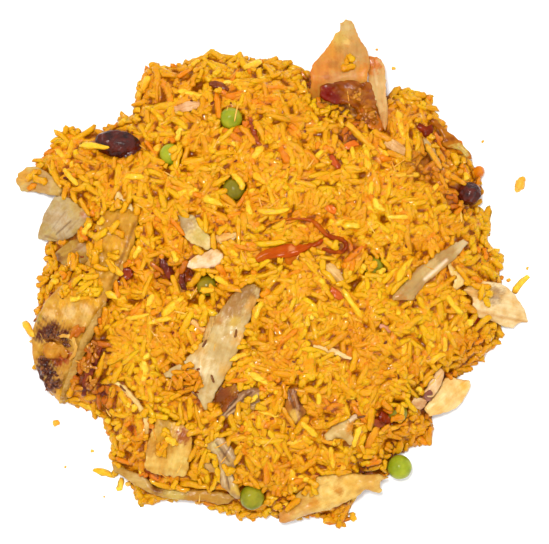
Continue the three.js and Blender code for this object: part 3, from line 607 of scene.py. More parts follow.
# Where a look leaves a value out, it's as in tornBase.
tornLooks = {
    "chicken_long_left": dict(
        slot="brown_chicken", finish="skin", thick=4.2, fibre=68, follow=5, strand=4, relief=0.25, lumps=1.3,
        voxel=0.36, tones=[(70, 49, 11), (74, 55, 18), (78, 61, 27)],
        outline=[
            (-57.4, 21.7), (-54.3, 24), (-50.9, 24.3), (-46.7, 22.3), (-44.3, 21.9), (-45.3, 16.9), (-46.3, 11.8),
            (-48, 7.4), (-50.1, 3.4), (-52.1, -0.7), (-54.2, -4.4), (-55.9, -7.4), (-56.6, -10.1), (-58.7, -13.5),
            (-60.5, -17), (-62.3, -20.4), (-64.5, -24.5), (-66.3, -28.7), (-68.6, -33.6), (-70.7, -38.6),
            (-72.1, -43.1), (-74.5, -41), (-76.9, -38.2), (-79.3, -34.5), (-81.1, -30.3), (-82.1, -24.8),
            (-82.1, -20), (-81.1, -15.2), (-79.3, -11.7), (-77.7, -8.6), (-75.4, -5.8), (-71.8, -2.4), (-67.5, 0.3),
            (-63.9, 3.4), (-61.9, 7.8), (-60.5, 12.9), (-59.8, 17.6),
        ],
        spots=[
            (-50, 16, 9, (72, 50, 8), 0.8), (-50.5, 4, 5, (78, 61, 26), 0.7), (-53, 11, 3, yellowJuice, 0.6),
            (-68.9, -11.6, 2.6, whitish, 0.6, 0.6), (-62.6, -10.5, 2, whitish, 0.55, 0.5),
            (-75.5, -12.7, 2.2, whitish, 0.6, 0.6), (-66, -17.5, 1.4, whitish, 0.5, 0.5),
            (-73, -9, 1.6, (76, 56, 14), 0.8, 0.4), (-58.5, -5, 2, (78, 60, 24), 0.8),
            (-48.5, 19, 3.4, (74, 54, 16), 0.8, 0.3), (-54, 6, 2.6, (70, 46, 6), 0.8, 0.4),
            (-65.4, -15, 2.6, (80, 64, 34), 0.9, 0.4), (-70.3, -7.5, 2.4, yellowJuice, 0.9),
            (-60.1, -7.5, 2.2, yellowJuice, 0.8), (-80, -13.1, 1.6, (58, 48, 12), 0.9),
            (-80.7, -9, 1.6, (58, 48, 12), 0.9), (-75.6, -18.2, 3.9, charBrown, 1, 0.7),
            (-71.2, -19.8, 3.1, charBrown, 1, 0.6), (-78.7, -19.3, 2.5, charBrown, 1, 0.5),
            (-74.3, -24, 3.7, (66, 43, 5), 1, 0.9), (-78, -24.8, 2, (72, 52, 10), 1, 0.6),
            (-75.2, -22, 1.6, charBrown, 1, 0.3), (-70.3, -26.7, 2.5, rust, 1, 0.6),
            (-72.9, -27.8, 2.5, rust, 1, 0.6), (-77.3, -28.9, 2.5, charBrown, 1, 0.5),
            (-76.6, -32.4, 3.9, charPurple, 1, 0.9), (-74.9, -36.2, 3.6, charPurple, 1, 0.9),
            (-79.3, -32.4, 2.6, charPurple, 1, 0.7), (-73.1, -33.1, 1.7, (78, 58, 28), 0.9, 0.4),
            # The small whitish spot at -77.2, -34 is a painted highlight, a glint on the dark crust.
            (-77.2, -34, 0.8, whitish, 0.9, 0.3), (-67.5, -32.1, 2.4, (78, 60, 28), 0.9),
            (-72.5, -39.3, 2.2, yellowJuice, 0.8),
        ],
        # The line is a painted shadow along the raised right edge.
        lines=[(-45.9, 18.9, -54.2, -2.4, 0.7, (45, 26, 8), 0.6)],
    ),
    "chicken_pale_left": dict(
        finish="skin", thick=2.8, fibre=40, strand=1.7, relief=0.25, lumps=0.35, fray=0.3,
        tones=[(64, 54, 38), (67, 58, 43), (66, 57, 34)],
        outline=[
            (-74.4, 27.5), (-71.8, 28.1), (-69.2, 27.3), (-65.5, 24.5), (-62.7, 22.4), (-61.6, 20.7), (-63.7, 17.7),
            (-66.1, 15.3), (-69, 13.6), (-72.6, 12.6), (-76.2, 12.7), (-80.7, 13.4), (-80.4, 15.8), (-79, 19.6),
            (-77.3, 23.4),
        ],
        spots=[
            (-72, 20, 3.5, (72, 63, 50), 0.6), (-66, 24, 4, (68, 56, 29), 0.8), (-63.8, 21.5, 1.3, rust, 0.6),
            (-75, 13.6, 2, (70, 58, 30), 0.8),
        ],
        lines=[
            # The second line is a painted shadow along the lower edge.
            (-73.7, 15, -68.3, 19.4, 0.35, (42, 30, 18), 0.7), (-77.8, 14.4, -66.4, 10.9, 0.4, (40, 25, 14), 0.6),
            (-75, 17, -70.5, 22.5, 0.3, (50, 39, 26), 0.5), (-70, 15.5, -65.5, 20, 0.3, (54, 43, 30), 0.5),
        ],
    ),
    "chicken_small_left": dict(
        slot="brown_chicken", finish="skin", thick=3, fibre=30, relief=0.3, lumps=0.4, fray=0.4,
        tones=[(55, 40, 12), (62, 46, 16), (65, 51, 21)],
        outline=[
            (-74, 8.2), (-72.2, 10.2), (-69, 12.6), (-66.1, 13.6), (-64, 12.2), (-61.2, 10.5), (-60.1, 8.1),
            (-61.1, 5.4), (-63.2, 3), (-66.8, 2.4), (-70.3, 3.4), (-72.5, 5.4),
        ],
        spots=[
            # The first two spots are painted highlights: pale glints on the wet skin.
            (-64.3, 10.5, 1.8, (70, 60, 48), 0.6), (-61.3, 9.8, 1.3, (76, 68, 58), 0.5),
            (-73, 7, 1.6, (43, 25, 7), 0.8),
        ],
        lines=[(-72.5, 5.4, -60.8, 13.6, 0.8, (55, 36, 14), 0.6)],
    ),
    "chicken_far_left": dict(
        slot="brown_chicken", thick=3, fibre=170, relief=0.4, lumps=0.5, fray=0.6,
        tones=[(68, 54, 30), (72, 60, 36), (75, 64, 34)],
        outline=[
            (-88.3, 33), (-87.3, 36.1), (-84.9, 38.2), (-81.8, 38.5), (-78, 36.8), (-74.5, 33.7), (-71.5, 30.1),
            (-72.1, 27.7), (-76.6, 28.5), (-81.4, 29.6), (-86.6, 29.9),
        ],
        spots=[(-85.5, 35, 3, (79, 58, 21), 0.8), (-79, 33, 4, (72, 58, 38), 0.8)],
    ),
    "chicken_middle": dict(
        thick=4, fibre=68, follow=5, strand=2.8, relief=0.15, lumps=0.7,
        nodes=["chicken_middle", "chicken_middle_branch"], tones=[(71, 60, 39), (73, 63, 43), (75, 66, 47)],
        outline=[
            (-11.6, -4), (-8.9, -2.3), (-5.5, -2), (-3.9, -3.7), (-4.5, -6.4), (-6.2, -10), (-7.9, -14.7),
            (-9.6, -19.4), (-11.2, -23.5), (-12.9, -27.2), (-14.6, -30.9), (-16.6, -34.6), (-18.7, -37.7),
            (-20, -40.7), (-22.1, -44.5), (-23.8, -43.1), (-25.1, -39.7), (-26.8, -37), (-25.4, -34.3),
            (-28.4, -33.3), (-31.8, -32.7), (-35.9, -33.4), (-36.6, -31.7), (-33.2, -29.6), (-29.1, -27.2),
            (-26.4, -24.5), (-24.3, -21.8), (-22.3, -21.1), (-21.6, -18.8), (-20, -15.8), (-19.3, -13.4),
            (-16.9, -10), (-14.2, -6.7),
        ],
        spots=[
            (-9.5, -5, 5.5, (56, 41, 22), 1), (-14, -10, 4.5, (60, 44, 24), 0.9),
            (-12.8, -14.5, 2, (74, 59, 22), 0.8), (-6.5, -9, 2.6, (76, 57, 28), 0.9),
            (-11, -20, 2.6, (79, 62, 34), 0.9), (-15.5, -31, 2.6, (77, 59, 28), 0.8),
            (-24, -24.5, 2.6, (76, 57, 24), 0.7), (-18.5, -14, 2, (67, 47, 19), 0.8),
            (-24.6, -29.8, 4.5, (82, 73, 55), 0.9), (-21, -21.5, 3, (76, 65, 42), 0.7),
        ],
    ),
    "chicken_low_left": dict(
        thick=3.8, fibre=73, strand=1.8, lumps=0.5, tones=[(75, 57, 20), (79, 62, 29), (81, 67, 35)],
        outline=[
            (-38.8, -46.4), (-35.7, -47.4), (-32, -49.4), (-27.9, -50.7), (-26.9, -54.2), (-27.3, -58.4),
            (-28.1, -62.6), (-29.2, -66.9), (-33, -67.7), (-37.5, -66.8), (-41.3, -65.9), (-43.3, -63.7),
            (-42.8, -58.7), (-41.7, -54.4), (-40.2, -50.2),
        ],
        spots=[
            (-37, -56, 4.5, (71, 50, 6), 0.9), (-30, -53, 2.8, (56, 26, 8), 0.9), (-42, -58, 2.8, (70, 50, 20), 0.9),
            (-32, -63, 4, (81, 69, 37), 0.9), (-36.5, -50, 2.5, (66, 52, 23), 0.8),
        ],
    ),
    "chicken_thin_bottom": dict(
        slot="brown_chicken", thick=2.6, fibre=171, strand=1.3, relief=0.35, lumps=0.4, fray=0.4,
        tones=[(63, 45, 16), (69, 54, 25), (73, 60, 30)],
        outline=[
            (-55.2, -63.7), (-52.5, -64.4), (-48.4, -66.1), (-43.9, -67.2), (-42.2, -69.6), (-40.4, -71.3),
            (-35.3, -72.3), (-28.3, -72.4), (-23.1, -72.2), (-17.3, -73.2), (-12.5, -74.2), (-14.6, -76.9),
            (-18.7, -77.4), (-23.2, -76), (-28.4, -76.1), (-34.6, -75.4), (-39.4, -74.4), (-42.9, -73),
            (-46.3, -70.9), (-50.8, -68.2), (-54.6, -66.1),
        ],
        spots=[
            (-46, -68, 4, (73, 60, 34), 0.8), (-33, -73.5, 4, (76, 69, 38), 0.8), (-24, -74.5, 5, (69, 50, 16), 0.9),
            (-39, -71, 2.5, (37, 17, 6), 0.8),
        ],
    ),
    "chicken_low_middle": dict(
        slot="grey_chicken", thick=2.8, fibre=115, strand=1.1, relief=0.5, lumps=0.4, fray=0.9,
        tones=[(58, 46, 32), (69, 56, 38), (75, 65, 45)],
        outline=[
            (-21.8, -54.8), (-19.8, -53.4), (-17.1, -53.4), (-13.7, -56.8), (-12.4, -60), (-11.7, -62.1),
            (-13.8, -64.5), (-13.1, -68.1), (-11.4, -71.3), (-10.8, -74.6), (-12.8, -74.6), (-15.2, -72.4),
            (-17.2, -71), (-17.9, -67.4), (-18.2, -62.5), (-19.8, -59.3), (-22.2, -57.3),
        ],
        spots=[(-11.5, -71.5, 2.6, (77, 65, 25), 0.9), (-20, -57, 2, (77, 69, 43), 0.8)],
        lines=[
            (-19, -55.4, -14.6, -62, 0.4, (38, 26, 16), 0.9), (-17.4, -54.6, -13.4, -60.6, 0.35, (84, 77, 66), 0.8),
            (-20.4, -56.8, -16, -63.6, 0.35, (84, 76, 62), 0.8), (-16.4, -63, -14.6, -71.4, 0.4, (40, 28, 18), 0.9),
            (-15, -63.4, -13.2, -70.4, 0.35, (86, 79, 68), 0.8), (-17, -65, -16, -70.6, 0.35, (82, 74, 60), 0.8),
            (-14, -56.6, -16.6, -60.4, 0.4, (44, 30, 24), 0.8),
        ],
    ),
    "chicken_dark_middle": dict(
        slot="grey_chicken", thick=2.8, fibre=35, strand=1.1, lumps=0.35, fray=0.7,
        tones=[(46, 31, 21), (55, 39, 25), (62, 47, 30)],
        outline=[
            (-18.4, -45.8), (-17, -42.8), (-14.3, -40.4), (-10.9, -38), (-8.2, -36.6), (-4.9, -36.3), (-3.5, -39.3),
            (-4.2, -43.7), (-6.9, -44.4), (-10.9, -44.8), (-15, -46.8), (-17.4, -47.5),
        ],
        spots=[(-7, -42.5, 3, (62, 47, 17), 0.8)],
        lines=[
            (-16.5, -45.6, -12, -40.3, 0.4, (30, 17, 8), 0.9), (-16, -45.6, -9.6, -39, 0.35, (76, 62, 46), 0.8),
            (-15.5, -45.8, -7, -38.2, 0.35, (34, 20, 10), 0.9), (-15, -46, -5, -38.6, 0.4, (80, 67, 50), 0.8),
            (-14, -45.9, -4.6, -41, 0.35, (36, 22, 12), 0.9), (-12.5, -45.4, -5, -42.8, 0.35, (76, 62, 44), 0.8),
        ],
    ),
    "chicken_dark_right": dict(
        slot="grey_chicken", thick=2.6, fibre=100, strand=1.1, lumps=0.35, fray=0.7,
        tones=[(44, 25, 11), (56, 34, 10), (68, 47, 16)],
        outline=[
            (3.5, -37), (9.2, -36.3), (9.9, -38.3), (8.6, -40.4), (10.3, -42.7), (11.3, -44.4), (10.3, -47.9),
            (9.3, -50.3), (6.9, -48.5), (5.2, -45.1), (3.9, -43.7), (4.5, -40.3),
        ],
        spots=[(7.3, -46, 2.2, (84, 68, 30), 0.8), (5, -43, 2, (58, 32, 2), 0.7)],
        lines=[
            (5.4, -37.6, 7.2, -43.6, 0.4, (32, 17, 10), 0.9), (6.8, -37.4, 8.8, -44, 0.35, (72, 58, 48), 0.8),
            (8, -37.6, 9.2, -42, 0.35, (36, 20, 12), 0.8), (8, -44, 9.4, -48.8, 0.35, (70, 52, 42), 0.8),
        ],
    ),
    "chicken_arch": dict(
        thick=2.4, fibre=150, strand=2, relief=0.15, fray=0.4, lift=0.5, tones=[(73, 61, 37), (79, 68, 45)],
        outline=[
            (18.1, -55.1), (17.7, -52.7), (19.1, -51), (21.4, -49.6), (24.1, -47.9), (26.8, -46.6), (29.2, -46.8),
            (27.5, -48.7), (26.9, -50.7), (27.2, -52.8), (27.6, -54.9), (26.3, -56.3), (24.5, -54.8), (23.2, -53.8),
            (20.8, -54.1),
        ],
        spots=[(27.6, -50.4, 2.8, (76, 50, 10), 1, 0.8)],
    ),
    "chicken_bottom": dict(
        thick=3.8, fibre=24, strand=3, relief=0.25, lumps=0.9, fray=0.6,
        tones=[(74, 56, 26), (80, 65, 33), (85, 72, 41)],
        outline=[
            (1.9, -82.6), (2.6, -79.9), (6, -76.8), (8.7, -73.1), (12.1, -69.5), (15.5, -67.2), (18.9, -66.4),
            (24.4, -66.2), (28.5, -66.7), (34, -67), (37.5, -67), (40, -67.9), (37.2, -69), (36.2, -70.2),
            (37.8, -72.6), (36, -73.4), (34, -72.5), (31.4, -72.1), (28.7, -74.5), (24.6, -76.5), (21.9, -77.8),
            (18.4, -79.2), (15, -79.9), (10.8, -80.9), (7.4, -82.8), (4.6, -83.7), (2.3, -83.5),
        ],
        spots=[
            (3.5, -82, 4, (76, 53, 25), 0.9, 0.3), (-1, -83.5, 2.6, (70, 42, 12), 0.9),
            (11, -80.5, 3, (78, 62, 38), 0.7), (19.5, -73.5, 6, (86, 73, 41), 0.9),
            (22.5, -72, 1.8, (72, 47, 10), 0.8), (14, -76.5, 2, (78, 53, 12), 0.8), (27, -69.5, 3, (84, 67, 30), 0.8),
            (33, -69, 3.5, (78, 58, 24), 0.7),
        ],
    ),
    "chicken_right": dict(
        thick=3.8, fibre=162, strand=2, relief=0.4, lumps=0.5, tones=[(83, 71, 50), (86, 75, 55), (87, 77, 57)],
        outline=[
            (64.6, -4.1), (67.1, -2.4), (70.7, -1), (74.3, -1.4), (78, -1.7), (80.4, -3.1), (82.8, -5.2), (84.9, -8),
            (86.6, -11), (87.6, -13.1), (87.9, -15.2), (85.2, -15.2), (83.8, -16.2), (82.8, -17.2), (80, -16.9),
            (77.1, -15.5), (73.3, -14), (70.8, -13.7), (68.6, -11.6), (67.5, -9.2), (67.8, -6.5),
        ],
        spots=[(76, -5.5, 3, (63, 51, 38), 0.9), (69, -4, 4, (81, 64, 35), 0.8)],
        lines=[
            (68.2, -10.9, 78.2, -13.4, 0.7, (74, 55, 30), 0.8), (78.2, -13.4, 87.9, -15.2, 0.7, (74, 55, 30), 0.8),
            (72, -3.5, 84, -8.5, 0.8, (80, 64, 38), 0.6),
        ],
    ),
    "chicken_low_right": dict(
        thick=3.4, fibre=38, strand=1.9, relief=0.3, lumps=0.4, tones=[(88, 73, 45), (89, 77, 52)],
        outline=[
            (51.5, -44.9), (53.6, -42.2), (55.6, -39.5), (57.3, -36.7), (58.7, -34.4), (61.1, -34.1), (64.7, -34.8),
            (68, -35.3), (67.7, -37.7), (66.7, -40.1), (65, -42.9), (62.5, -44.9), (59.7, -45.8), (57.2, -46.5),
            (53.7, -47),
        ],
        spots=[(65.5, -37, 1.6, (89, 65, 24), 0.8)],
    ),
    "chicken_strip_low_right": dict(
        thick=2.4, fibre=60, strand=1.2, relief=0.3, lumps=0.3, fray=0.4, tones=[(81, 66, 47), (85, 72, 55)],
        outline=[
            (57.2, -30.5), (58.2, -31.3), (58.3, -33.7), (57.3, -36), (55.9, -38.8), (54.2, -40.8), (52.5, -40.8),
            (51.7, -38.7), (53.4, -35.3), (55.1, -32.6),
        ],
    ),
    "meat_glazed_top": dict(
        slot="glazed_meat", finish="glazed", thick=3.8, fibre=5, strand=2.6, relief=0.25, lumps=1.7, fray=0.4,
        lift=1.4, tones=[(45, 20, 1), (54, 27, 2), (62, 36, 3)],
        outline=[
            (16.1, 64.9), (17.5, 66), (20.3, 66.7), (24.7, 67.3), (28.2, 67.6), (30.6, 67.3), (33.3, 66.6),
            (34.3, 63.4), (35.6, 60.3), (36.5, 57.1), (37.5, 53.6), (37.8, 51.2), (35.1, 50.5), (32.7, 52.2),
            (30.3, 54.2), (28.6, 56.3), (27, 58.3), (24.6, 59), (21.9, 59), (19.2, 60), (17.1, 60.7), (16.1, 62.4),
        ],
        spots=[
            (18.5, 62, 3.6, (46, 6, 0), 1), (21.5, 60.5, 2.6, (42, 7, 0), 0.9),
            (29, 62.5, 2.4, (60, 36, 8), 0.9, 0.8), (26, 63.5, 1.4, (62, 38, 12), 0.8, 0.5),
            (32.5, 56, 4, (64, 38, 4), 0.9, 0.5), (36, 50, 4, (66, 42, 5), 0.9),
        ],
    ),
    "chicken_white_upper": dict(
        thick=2.8, fibre=132, strand=2.4, relief=0.15, tones=[(78, 68, 42), (82, 74, 52)],
        outline=[
            (-31.1, 20.5), (-29.1, 21.9), (-26.4, 21.2), (-24.7, 18.8), (-22.7, 16.1), (-20.6, 13.4), (-19.6, 10.7),
            (-22, 9.4), (-24.7, 10.8), (-27.4, 11.8), (-29.4, 13.8), (-30.7, 16.8),
        ],
        spots=[(-29, 18.5, 3.5, (62, 51, 36), 0.9), (-24, 14, 2.6, (72, 64, 34), 0.8)],
    ),
    "chicken_white_lower": dict(
        thick=2.6, fibre=20, strand=0.8, relief=0.6, lumps=1, fray=0.8, lift=0.5, tones=[(84, 70, 52), (91, 79, 68)],
        outline=[
            (-28.4, 3.4), (-28.2, 5.7), (-26.3, 7.2), (-24.3, 8.1), (-22.3, 8.6), (-20.6, 9.7), (-18.3, 9.7),
            (-16.4, 8.1), (-16.9, 5.7), (-18.3, 4), (-20.6, 3.4), (-23, 3), (-25.7, 2.7),
        ],
        spots=[
            (-26.5, 6.5, 1.6, (84, 66, 38), 0.9, 0.5), (-21, 7.5, 1.2, (76, 62, 46), 0.8, 0.4),
            (-18.4, 9.2, 1.4, (80, 64, 36), 0.8, 0.4),
        ],
    ),
    "browned_onion_right": dict(
        slot="browned_onion", finish="fried", thick=1.6, fibre=-42, strand=2.2, relief=0.4, lumps=0.4, fray=0.3,
        tones=[(52, 27, 4), (67, 41, 5), (57, 32, 4)],
        outline=[
            (54, 55.1), (56.1, 54.2), (59.5, 50.7), (63.1, 48.1), (66.2, 44.7), (68.3, 42.3), (68.6, 40.5),
            (66.4, 41.1), (64.3, 43.9), (61.4, 44.5), (58.9, 44.4), (57.2, 46.4), (58, 48.6), (56, 51.7),
            (54.2, 52.7),
        ],
        spots=[(64, 43, 3, (76, 70, 36), 0.9)],
    ),
    "browned_onion_top": dict(
        slot="browned_onion", finish="fried", thick=1.2, fibre=10, strand=2, relief=0.4, lumps=0.25, fray=0.3,
        tones=[(32, 9, 1), (49, 14, 0)],
        outline=[
            (48.5, 51.4), (50.3, 53.2), (52.1, 51.5), (54.6, 52.7), (54.8, 49.9), (53.7, 48.4), (51.6, 48),
            (50.3, 50.1),
        ],
    ),
    "chilli_strip_main": dict(
        slot="chilli", finish="chilli", thick=2, fibre=12, follow=3, strand=2.4, relief=0.25, lumps=0.2, fray=0.1,
        round=1.4, voxel=0.3, lift=0.5, tones=[(62, 22, 0), (65, 26, 0), (68, 30, 0)],
        outline=[
            (-6.5, 6.4), (-4.9, 8.1), (-2.5, 9.4), (0.2, 10.4), (3.2, 11.2), (5.9, 11.6), (8.5, 11.4), (11.6, 11.6),
            (14.3, 12.1), (16.3, 13.3), (17.6, 12.6), (15.9, 11.1), (13.2, 10.2), (10.6, 8.9), (8.9, 7.6), (6.5, 7.1),
            (4.2, 6.7), (1.8, 6.7), (-0.5, 6.4), (-3.2, 5.5), (-5.5, 5.2),
        ],
        spots=[(6.5, 10, 1.1, (78, 50, 28), 0.7), (-4, 7, 3, (68, 33, 0), 0.9), (14, 11.5, 3, (58, 23, 0), 0.9)],
    ),
    "chilli_strip_loop": dict(
        slot="chilli", finish="chilli", thick=1.6, fibre=-20, follow=3, strand=2, relief=0.2, lumps=0.15, fray=0.1,
        round=0.8, voxel=0.26, lift=0.9, tones=[(60, 26, 0), (66, 32, 0)],
        outline=[
            (-3.4, 16.8), (-0.7, 18.1), (1.9, 18.9), (5.9, 19.5), (9.9, 19.5), (12.6, 18.6), (14.3, 17.3), (16, 15.4),
            (17.8, 13.5), (20.4, 12.5), (23, 12.1), (23.9, 11.4), (23.9, 10.4), (23, 9.7), (21, 9.6), (18.5, 10.1),
            (16.8, 10.4), (16.4, 9.4), (18.1, 8.5), (20.9, 7.9), (23.6, 8.1), (25.4, 9.7), (25.4, 12.1), (23.7, 13.8),
            (20.9, 14.3), (18.7, 15), (17.3, 16.5), (15.5, 18.6), (13.2, 20), (9.9, 20.4), (5.8, 20.2), (1.8, 19.7),
            (-1, 18.8), (-3.7, 17.4),
        ],
        spots=[
            (1, 18.8, 4.5, (74, 46, 1), 0.9), (24.5, 11, 3, (44, 13, 0), 0.9), (19, 9, 3, (50, 18, 0), 0.8),
            (20, 13.5, 2.5, (50, 17, 0), 0.8),
        ],
    ),
    "chilli_strip_short": dict(
        slot="chilli", finish="chilli", thick=1.6, fibre=40, follow=3, strand=2, relief=0.2, lumps=0.15, fray=0.1,
        round=1, voxel=0.26, lift=0.4, tones=[(64, 30, 0), (68, 36, 0)],
        outline=[(4.2, 7.1), (6.9, 7.4), (9.6, 8.4), (9.2, 7.1), (7.5, 5.7), (5.7, 4.2), (4.7, 4.7), (4.2, 6)],
    ),
    "chicken_shred_left": dict(
        slot="grey_chicken", thick=2, fibre=130, strand=0.9, relief=0.3, lumps=0.3, fray=0.6,
        tones=[(80, 67, 41), (86, 74, 48)],
        outline=[
            (-53, 29.8), (-51.3, 29.1), (-49.5, 26.4), (-46.7, 24.3), (-47.1, 22.3), (-49.5, 21.3), (-51.6, 24),
            (-53.3, 26.7),
        ],
        spots=[(-50, 24, 1.2, (34, 19, 8), 0.8)],
    ),
}
finishes = dict(
    dry=dict(roughness=0.38, coat=0.06),
    skin=dict(roughness=0.3, coat=0.14, stretch=1.0),
    glazed=dict(roughness=0.18, coat=0.25, speckles=1.0, shine=0.06),
    fried=dict(roughness=0.18, coat=0.08, shine=0.06),
    chilli=dict(roughness=0.18, coat=0.03, speckles=0.1, shine=0.06),
    smooth=dict(roughness=0.2, coat=0.12),
    burnt=dict(roughness=0.16, coat=0.3, speckles=0.6, stretch=1.0),
)

toppings = []
seed = 100
for name, ownLook in tornLooks.items():
    seed += 11
    look = dict(tornBase, **ownLook)
    stands = look.get("nodes", [name])
    piece = tornPiece(name + "_torn", groundOf(stands, look["follow"]), look, seed)
    finishPiece(piece, meatFinish(name + "_finish", **finishes[look["finish"]]), look["slot"], *stands)
    toppings.append(piece)
print("torn pieces made:", len(toppings))

# The small pieces: the first word of the name says of what each one is.
dressedLooks = {
    "chicken_shred_upper": [(83, 69, 42), (86, 74, 50)],
    "chicken_shred_middle": [(84, 71, 47), (88, 77, 56)],
    "chicken_sliver_top_right": [(62, 47, 26), (76, 64, 44)],
    "chicken_bit_middle": [(76, 60, 36), (82, 67, 42)],
    "chicken_strand_low_left": [(83, 69, 41), (86, 74, 47)],
    "chicken_bit_top_left": [(76, 55, 36), (83, 67, 50)],
    "chicken_bit_top_right": [(76, 57, 35), (82, 66, 44)],
    "browned_onion_left": [(20, 5, 2), (45, 14, 4)],
    "browned_onion_middle": [(22, 6, 2), (42, 14, 4)],
    "browned_onion_curl": [(50, 18, 6), (70, 34, 10)],
    "browned_onion_low_left": [(30, 8, 3), (52, 20, 5)],
    "browned_onion_low_right": [(38, 14, 4), (56, 24, 6)],
    "browned_onion_bit_top": [(42, 18, 5), (60, 30, 8)],
    "tomato_bit_middle": [(66, 26, 4), (76, 36, 6)],
    "tomato_skin_top": [(60, 22, 4), (74, 32, 6)],
    "carrot_bit_top": [(76, 36, 3), (84, 45, 5)],
    "carrot_bit_middle": [(78, 36, 3), (84, 45, 6)],
}
dressedKinds = dict(
    chicken=dict(slot="grey_chicken", finish="dry", relief=0.25, lumps=0.15),
    browned=dict(slot="browned_onion", finish="smooth", relief=0.1, lumps=0.2),
    tomato=dict(slot="chilli", finish="smooth", relief=0.1, lumps=0.2),
    carrot=dict(slot="carrot", finish="smooth", relief=0.1, lumps=0.2),
)
for name, tones in dressedLooks.items():
    seed += 11
    look = dict(dressedKinds[name.split("_")[0]], tones=tones, strand=0.9, voxel=0.3, spots=[], lines=[])
    piece = dressedNode(name, look, seed)
    finishPiece(piece, meatFinish(name + "_finish", **finishes[look["finish"]]), look["slot"], name)
    toppings.append(piece)
print("small pieces made:", len(toppings))


# onion layers

onionSkin = dict(
    grain=(0.10, 0.35, 1.0), veins=(1.6, 3, 0.5), veinBand=(0.38, 0.62), veinTint=(0.93, 0.82, 0.66),
    pores=(500, 4), depth=0.0006, strength=0.5,
)
onionBase = dict(tornBase, rough=0.3, coat=0.15, droopFrom=0, droop=0, droopReach=9, droopStart=4)
onionLooks = {
    "onion_petal": dict(
        thick=1, fibre=93, strand=5, relief=0.05, lumps=0.35, fray=0.1, round=0.8, voxel=0.3, rough=0.46, coat=0.03,
        droopFrom=69, droop=0.9, tones=[(72, 46, 13), (73, 50, 18), (72, 53, 26)],
        outline=[
            (12.7, 60.3), (13.1, 65.6), (12.8, 70.2), (13.8, 73.1), (16.3, 75.7), (18.4, 78.4), (20.1, 80.9),
            (21.5, 83.6), (23.2, 84.6), (23.2, 87.1), (25, 88.4), (27, 88.1), (28.1, 86), (29.1, 82.9), (30.5, 80.5),
            (31.8, 78.4), (32.9, 75.7), (33.2, 72.9), (32.4, 69.5), (32.2, 66.8), (28, 65.6), (22, 64.8),
            (17.6, 63.8), (16.4, 61),
        ],
        spots=[
            (25.5, 86, 4.5, (70, 58, 33), 1), (22.5, 82, 3, (74, 62, 28), 0.8), (29, 77, 5, (68, 51, 26), 1),
            (15.5, 70, 5, (74, 46, 13), 1), (19, 77, 4, (73, 48, 11), 0.8), (31, 69, 3, (74, 48, 13), 0.9),
            (21, 67, 3, (70, 48, 26), 0.7), (26, 69, 2.5, (70, 51, 26), 0.7), (20.5, 73, 1.6, (64, 40, 12), 0.8),
            (24.5, 72.5, 1.4, (79, 62, 26), 0.8, 0.3), (22.5, 78, 1.4, (64, 44, 16), 0.7),
            (27.5, 74, 1.6, (76, 60, 38), 0.8, 0.3), (18.5, 68.5, 1.4, (62, 34, 10), 0.7),
            (25.5, 80.5, 1.2, (79, 66, 36), 0.8, 0.3),
        ],
    ),
    "onion_strip_upper": dict(
        thick=1.2, fibre=94, follow=3, strand=1.8, relief=0.25, lumps=0.4, fray=0.2, round=0.8, voxel=0.3,
        tones=[(72, 56, 32), (77, 64, 42)],
        outline=[
            (31.5, 74.7), (33.2, 75.9), (35.6, 75.5), (37, 74.7), (38.4, 71.9), (38.6, 67.9), (38.7, 62.5),
            (39.1, 57.2), (38.9, 51.9), (38.1, 49.8), (37.1, 51.5), (36.2, 55.4), (34.9, 59.2), (33.4, 63.4),
            (32.6, 67), (32.5, 69.9), (31.4, 72.1),
        ],
        spots=[(33.5, 73, 3.6, (72, 40, 8), 1), (31.8, 70.5, 2, (74, 44, 10), 1), (38.5, 52, 5, (68, 47, 22), 0.9)],
        # The line is a painted highlight, a pale streak of glint.
        lines=[(34.8, 71, 35.6, 66, 0.6, (84, 74, 56), 0.5)],
    ),
    "onion_strip_side": dict(
        thick=2.4, fibre=40, follow=3, strand=3.4, relief=0.3, lumps=0.3, fray=0.1, round=1.6, voxel=0.34, lift=0.4,
        rough=0.16, coat=0.3, tones=[(61, 47, 25), (68, 55, 31)],
        outline=[
            (64.7, 13.2), (66.5, 11.9), (64.7, 10.2), (62.9, 7.8), (60.1, 5.1), (57, 2.7), (54.2, 0.3), (51.4, -1.7),
            (49, -4.7), (47, -7.4), (42.9, -7.4), (40.2, -7.4), (40.5, -5.7), (43.2, -2.7), (46.3, 0.7), (49, 3.7),
            (52.5, 5.7), (55.6, 8.5), (59.1, 10.2), (62.2, 12.2),
        ],
        spots=[(64, 11.5, 3, (74, 65, 47), 0.9), (54, 3, 3.5, (74, 62, 38), 0.7), (43, -8, 3, (66, 45, 17), 0.9)],
        # The first line is a painted highlight, a pale streak of wet sheen.
        lines=[(51.1, -0.3, 58.7, 6.1, 0.7, (88, 78, 66), 0.8), (45.6, 0.7, 56.6, 9.8, 0.9, (62, 48, 28), 0.7)],
    ),
}


def onionSheet(name, node, slot, seed):
    look = dict(onionBase, **onionLooks[name])
    level = groundOf([node], look["follow"])

    def settled(x, y):
        past = np.clip(look["droopFrom"] - y, 0, look["droopReach"])
        return level(x, y) - look["droop"] * past ** 2 / (look["droopStart"] + past)

    piece = tornPiece(name, settled, look, seed)
    made = Recipe(name + "_finish")
    paint = made.attribute("paint").outputs["Color"]
    veins = made.speckle(alongFibres(made, onionSkin["grain"]), *onionSkin["veins"])
    made.into("Base Color", made.darkened(paint, onionSkin["veinTint"], veins, *onionSkin["veinBand"]))
    made.set(Roughness=look["rough"], Coat_Weight=look["coat"], Coat_Roughness=0.1)
    made.set(Specular_IOR_Level=0.25, Subsurface_Weight=0.35, Subsurface_Scale=0.002)
    made.bump(made.speckle(made.place(), *onionSkin["pores"]), onionSkin["depth"], onionSkin["strength"])
    finishPiece(piece, made.material, slot, node)
    toppings.append(piece)


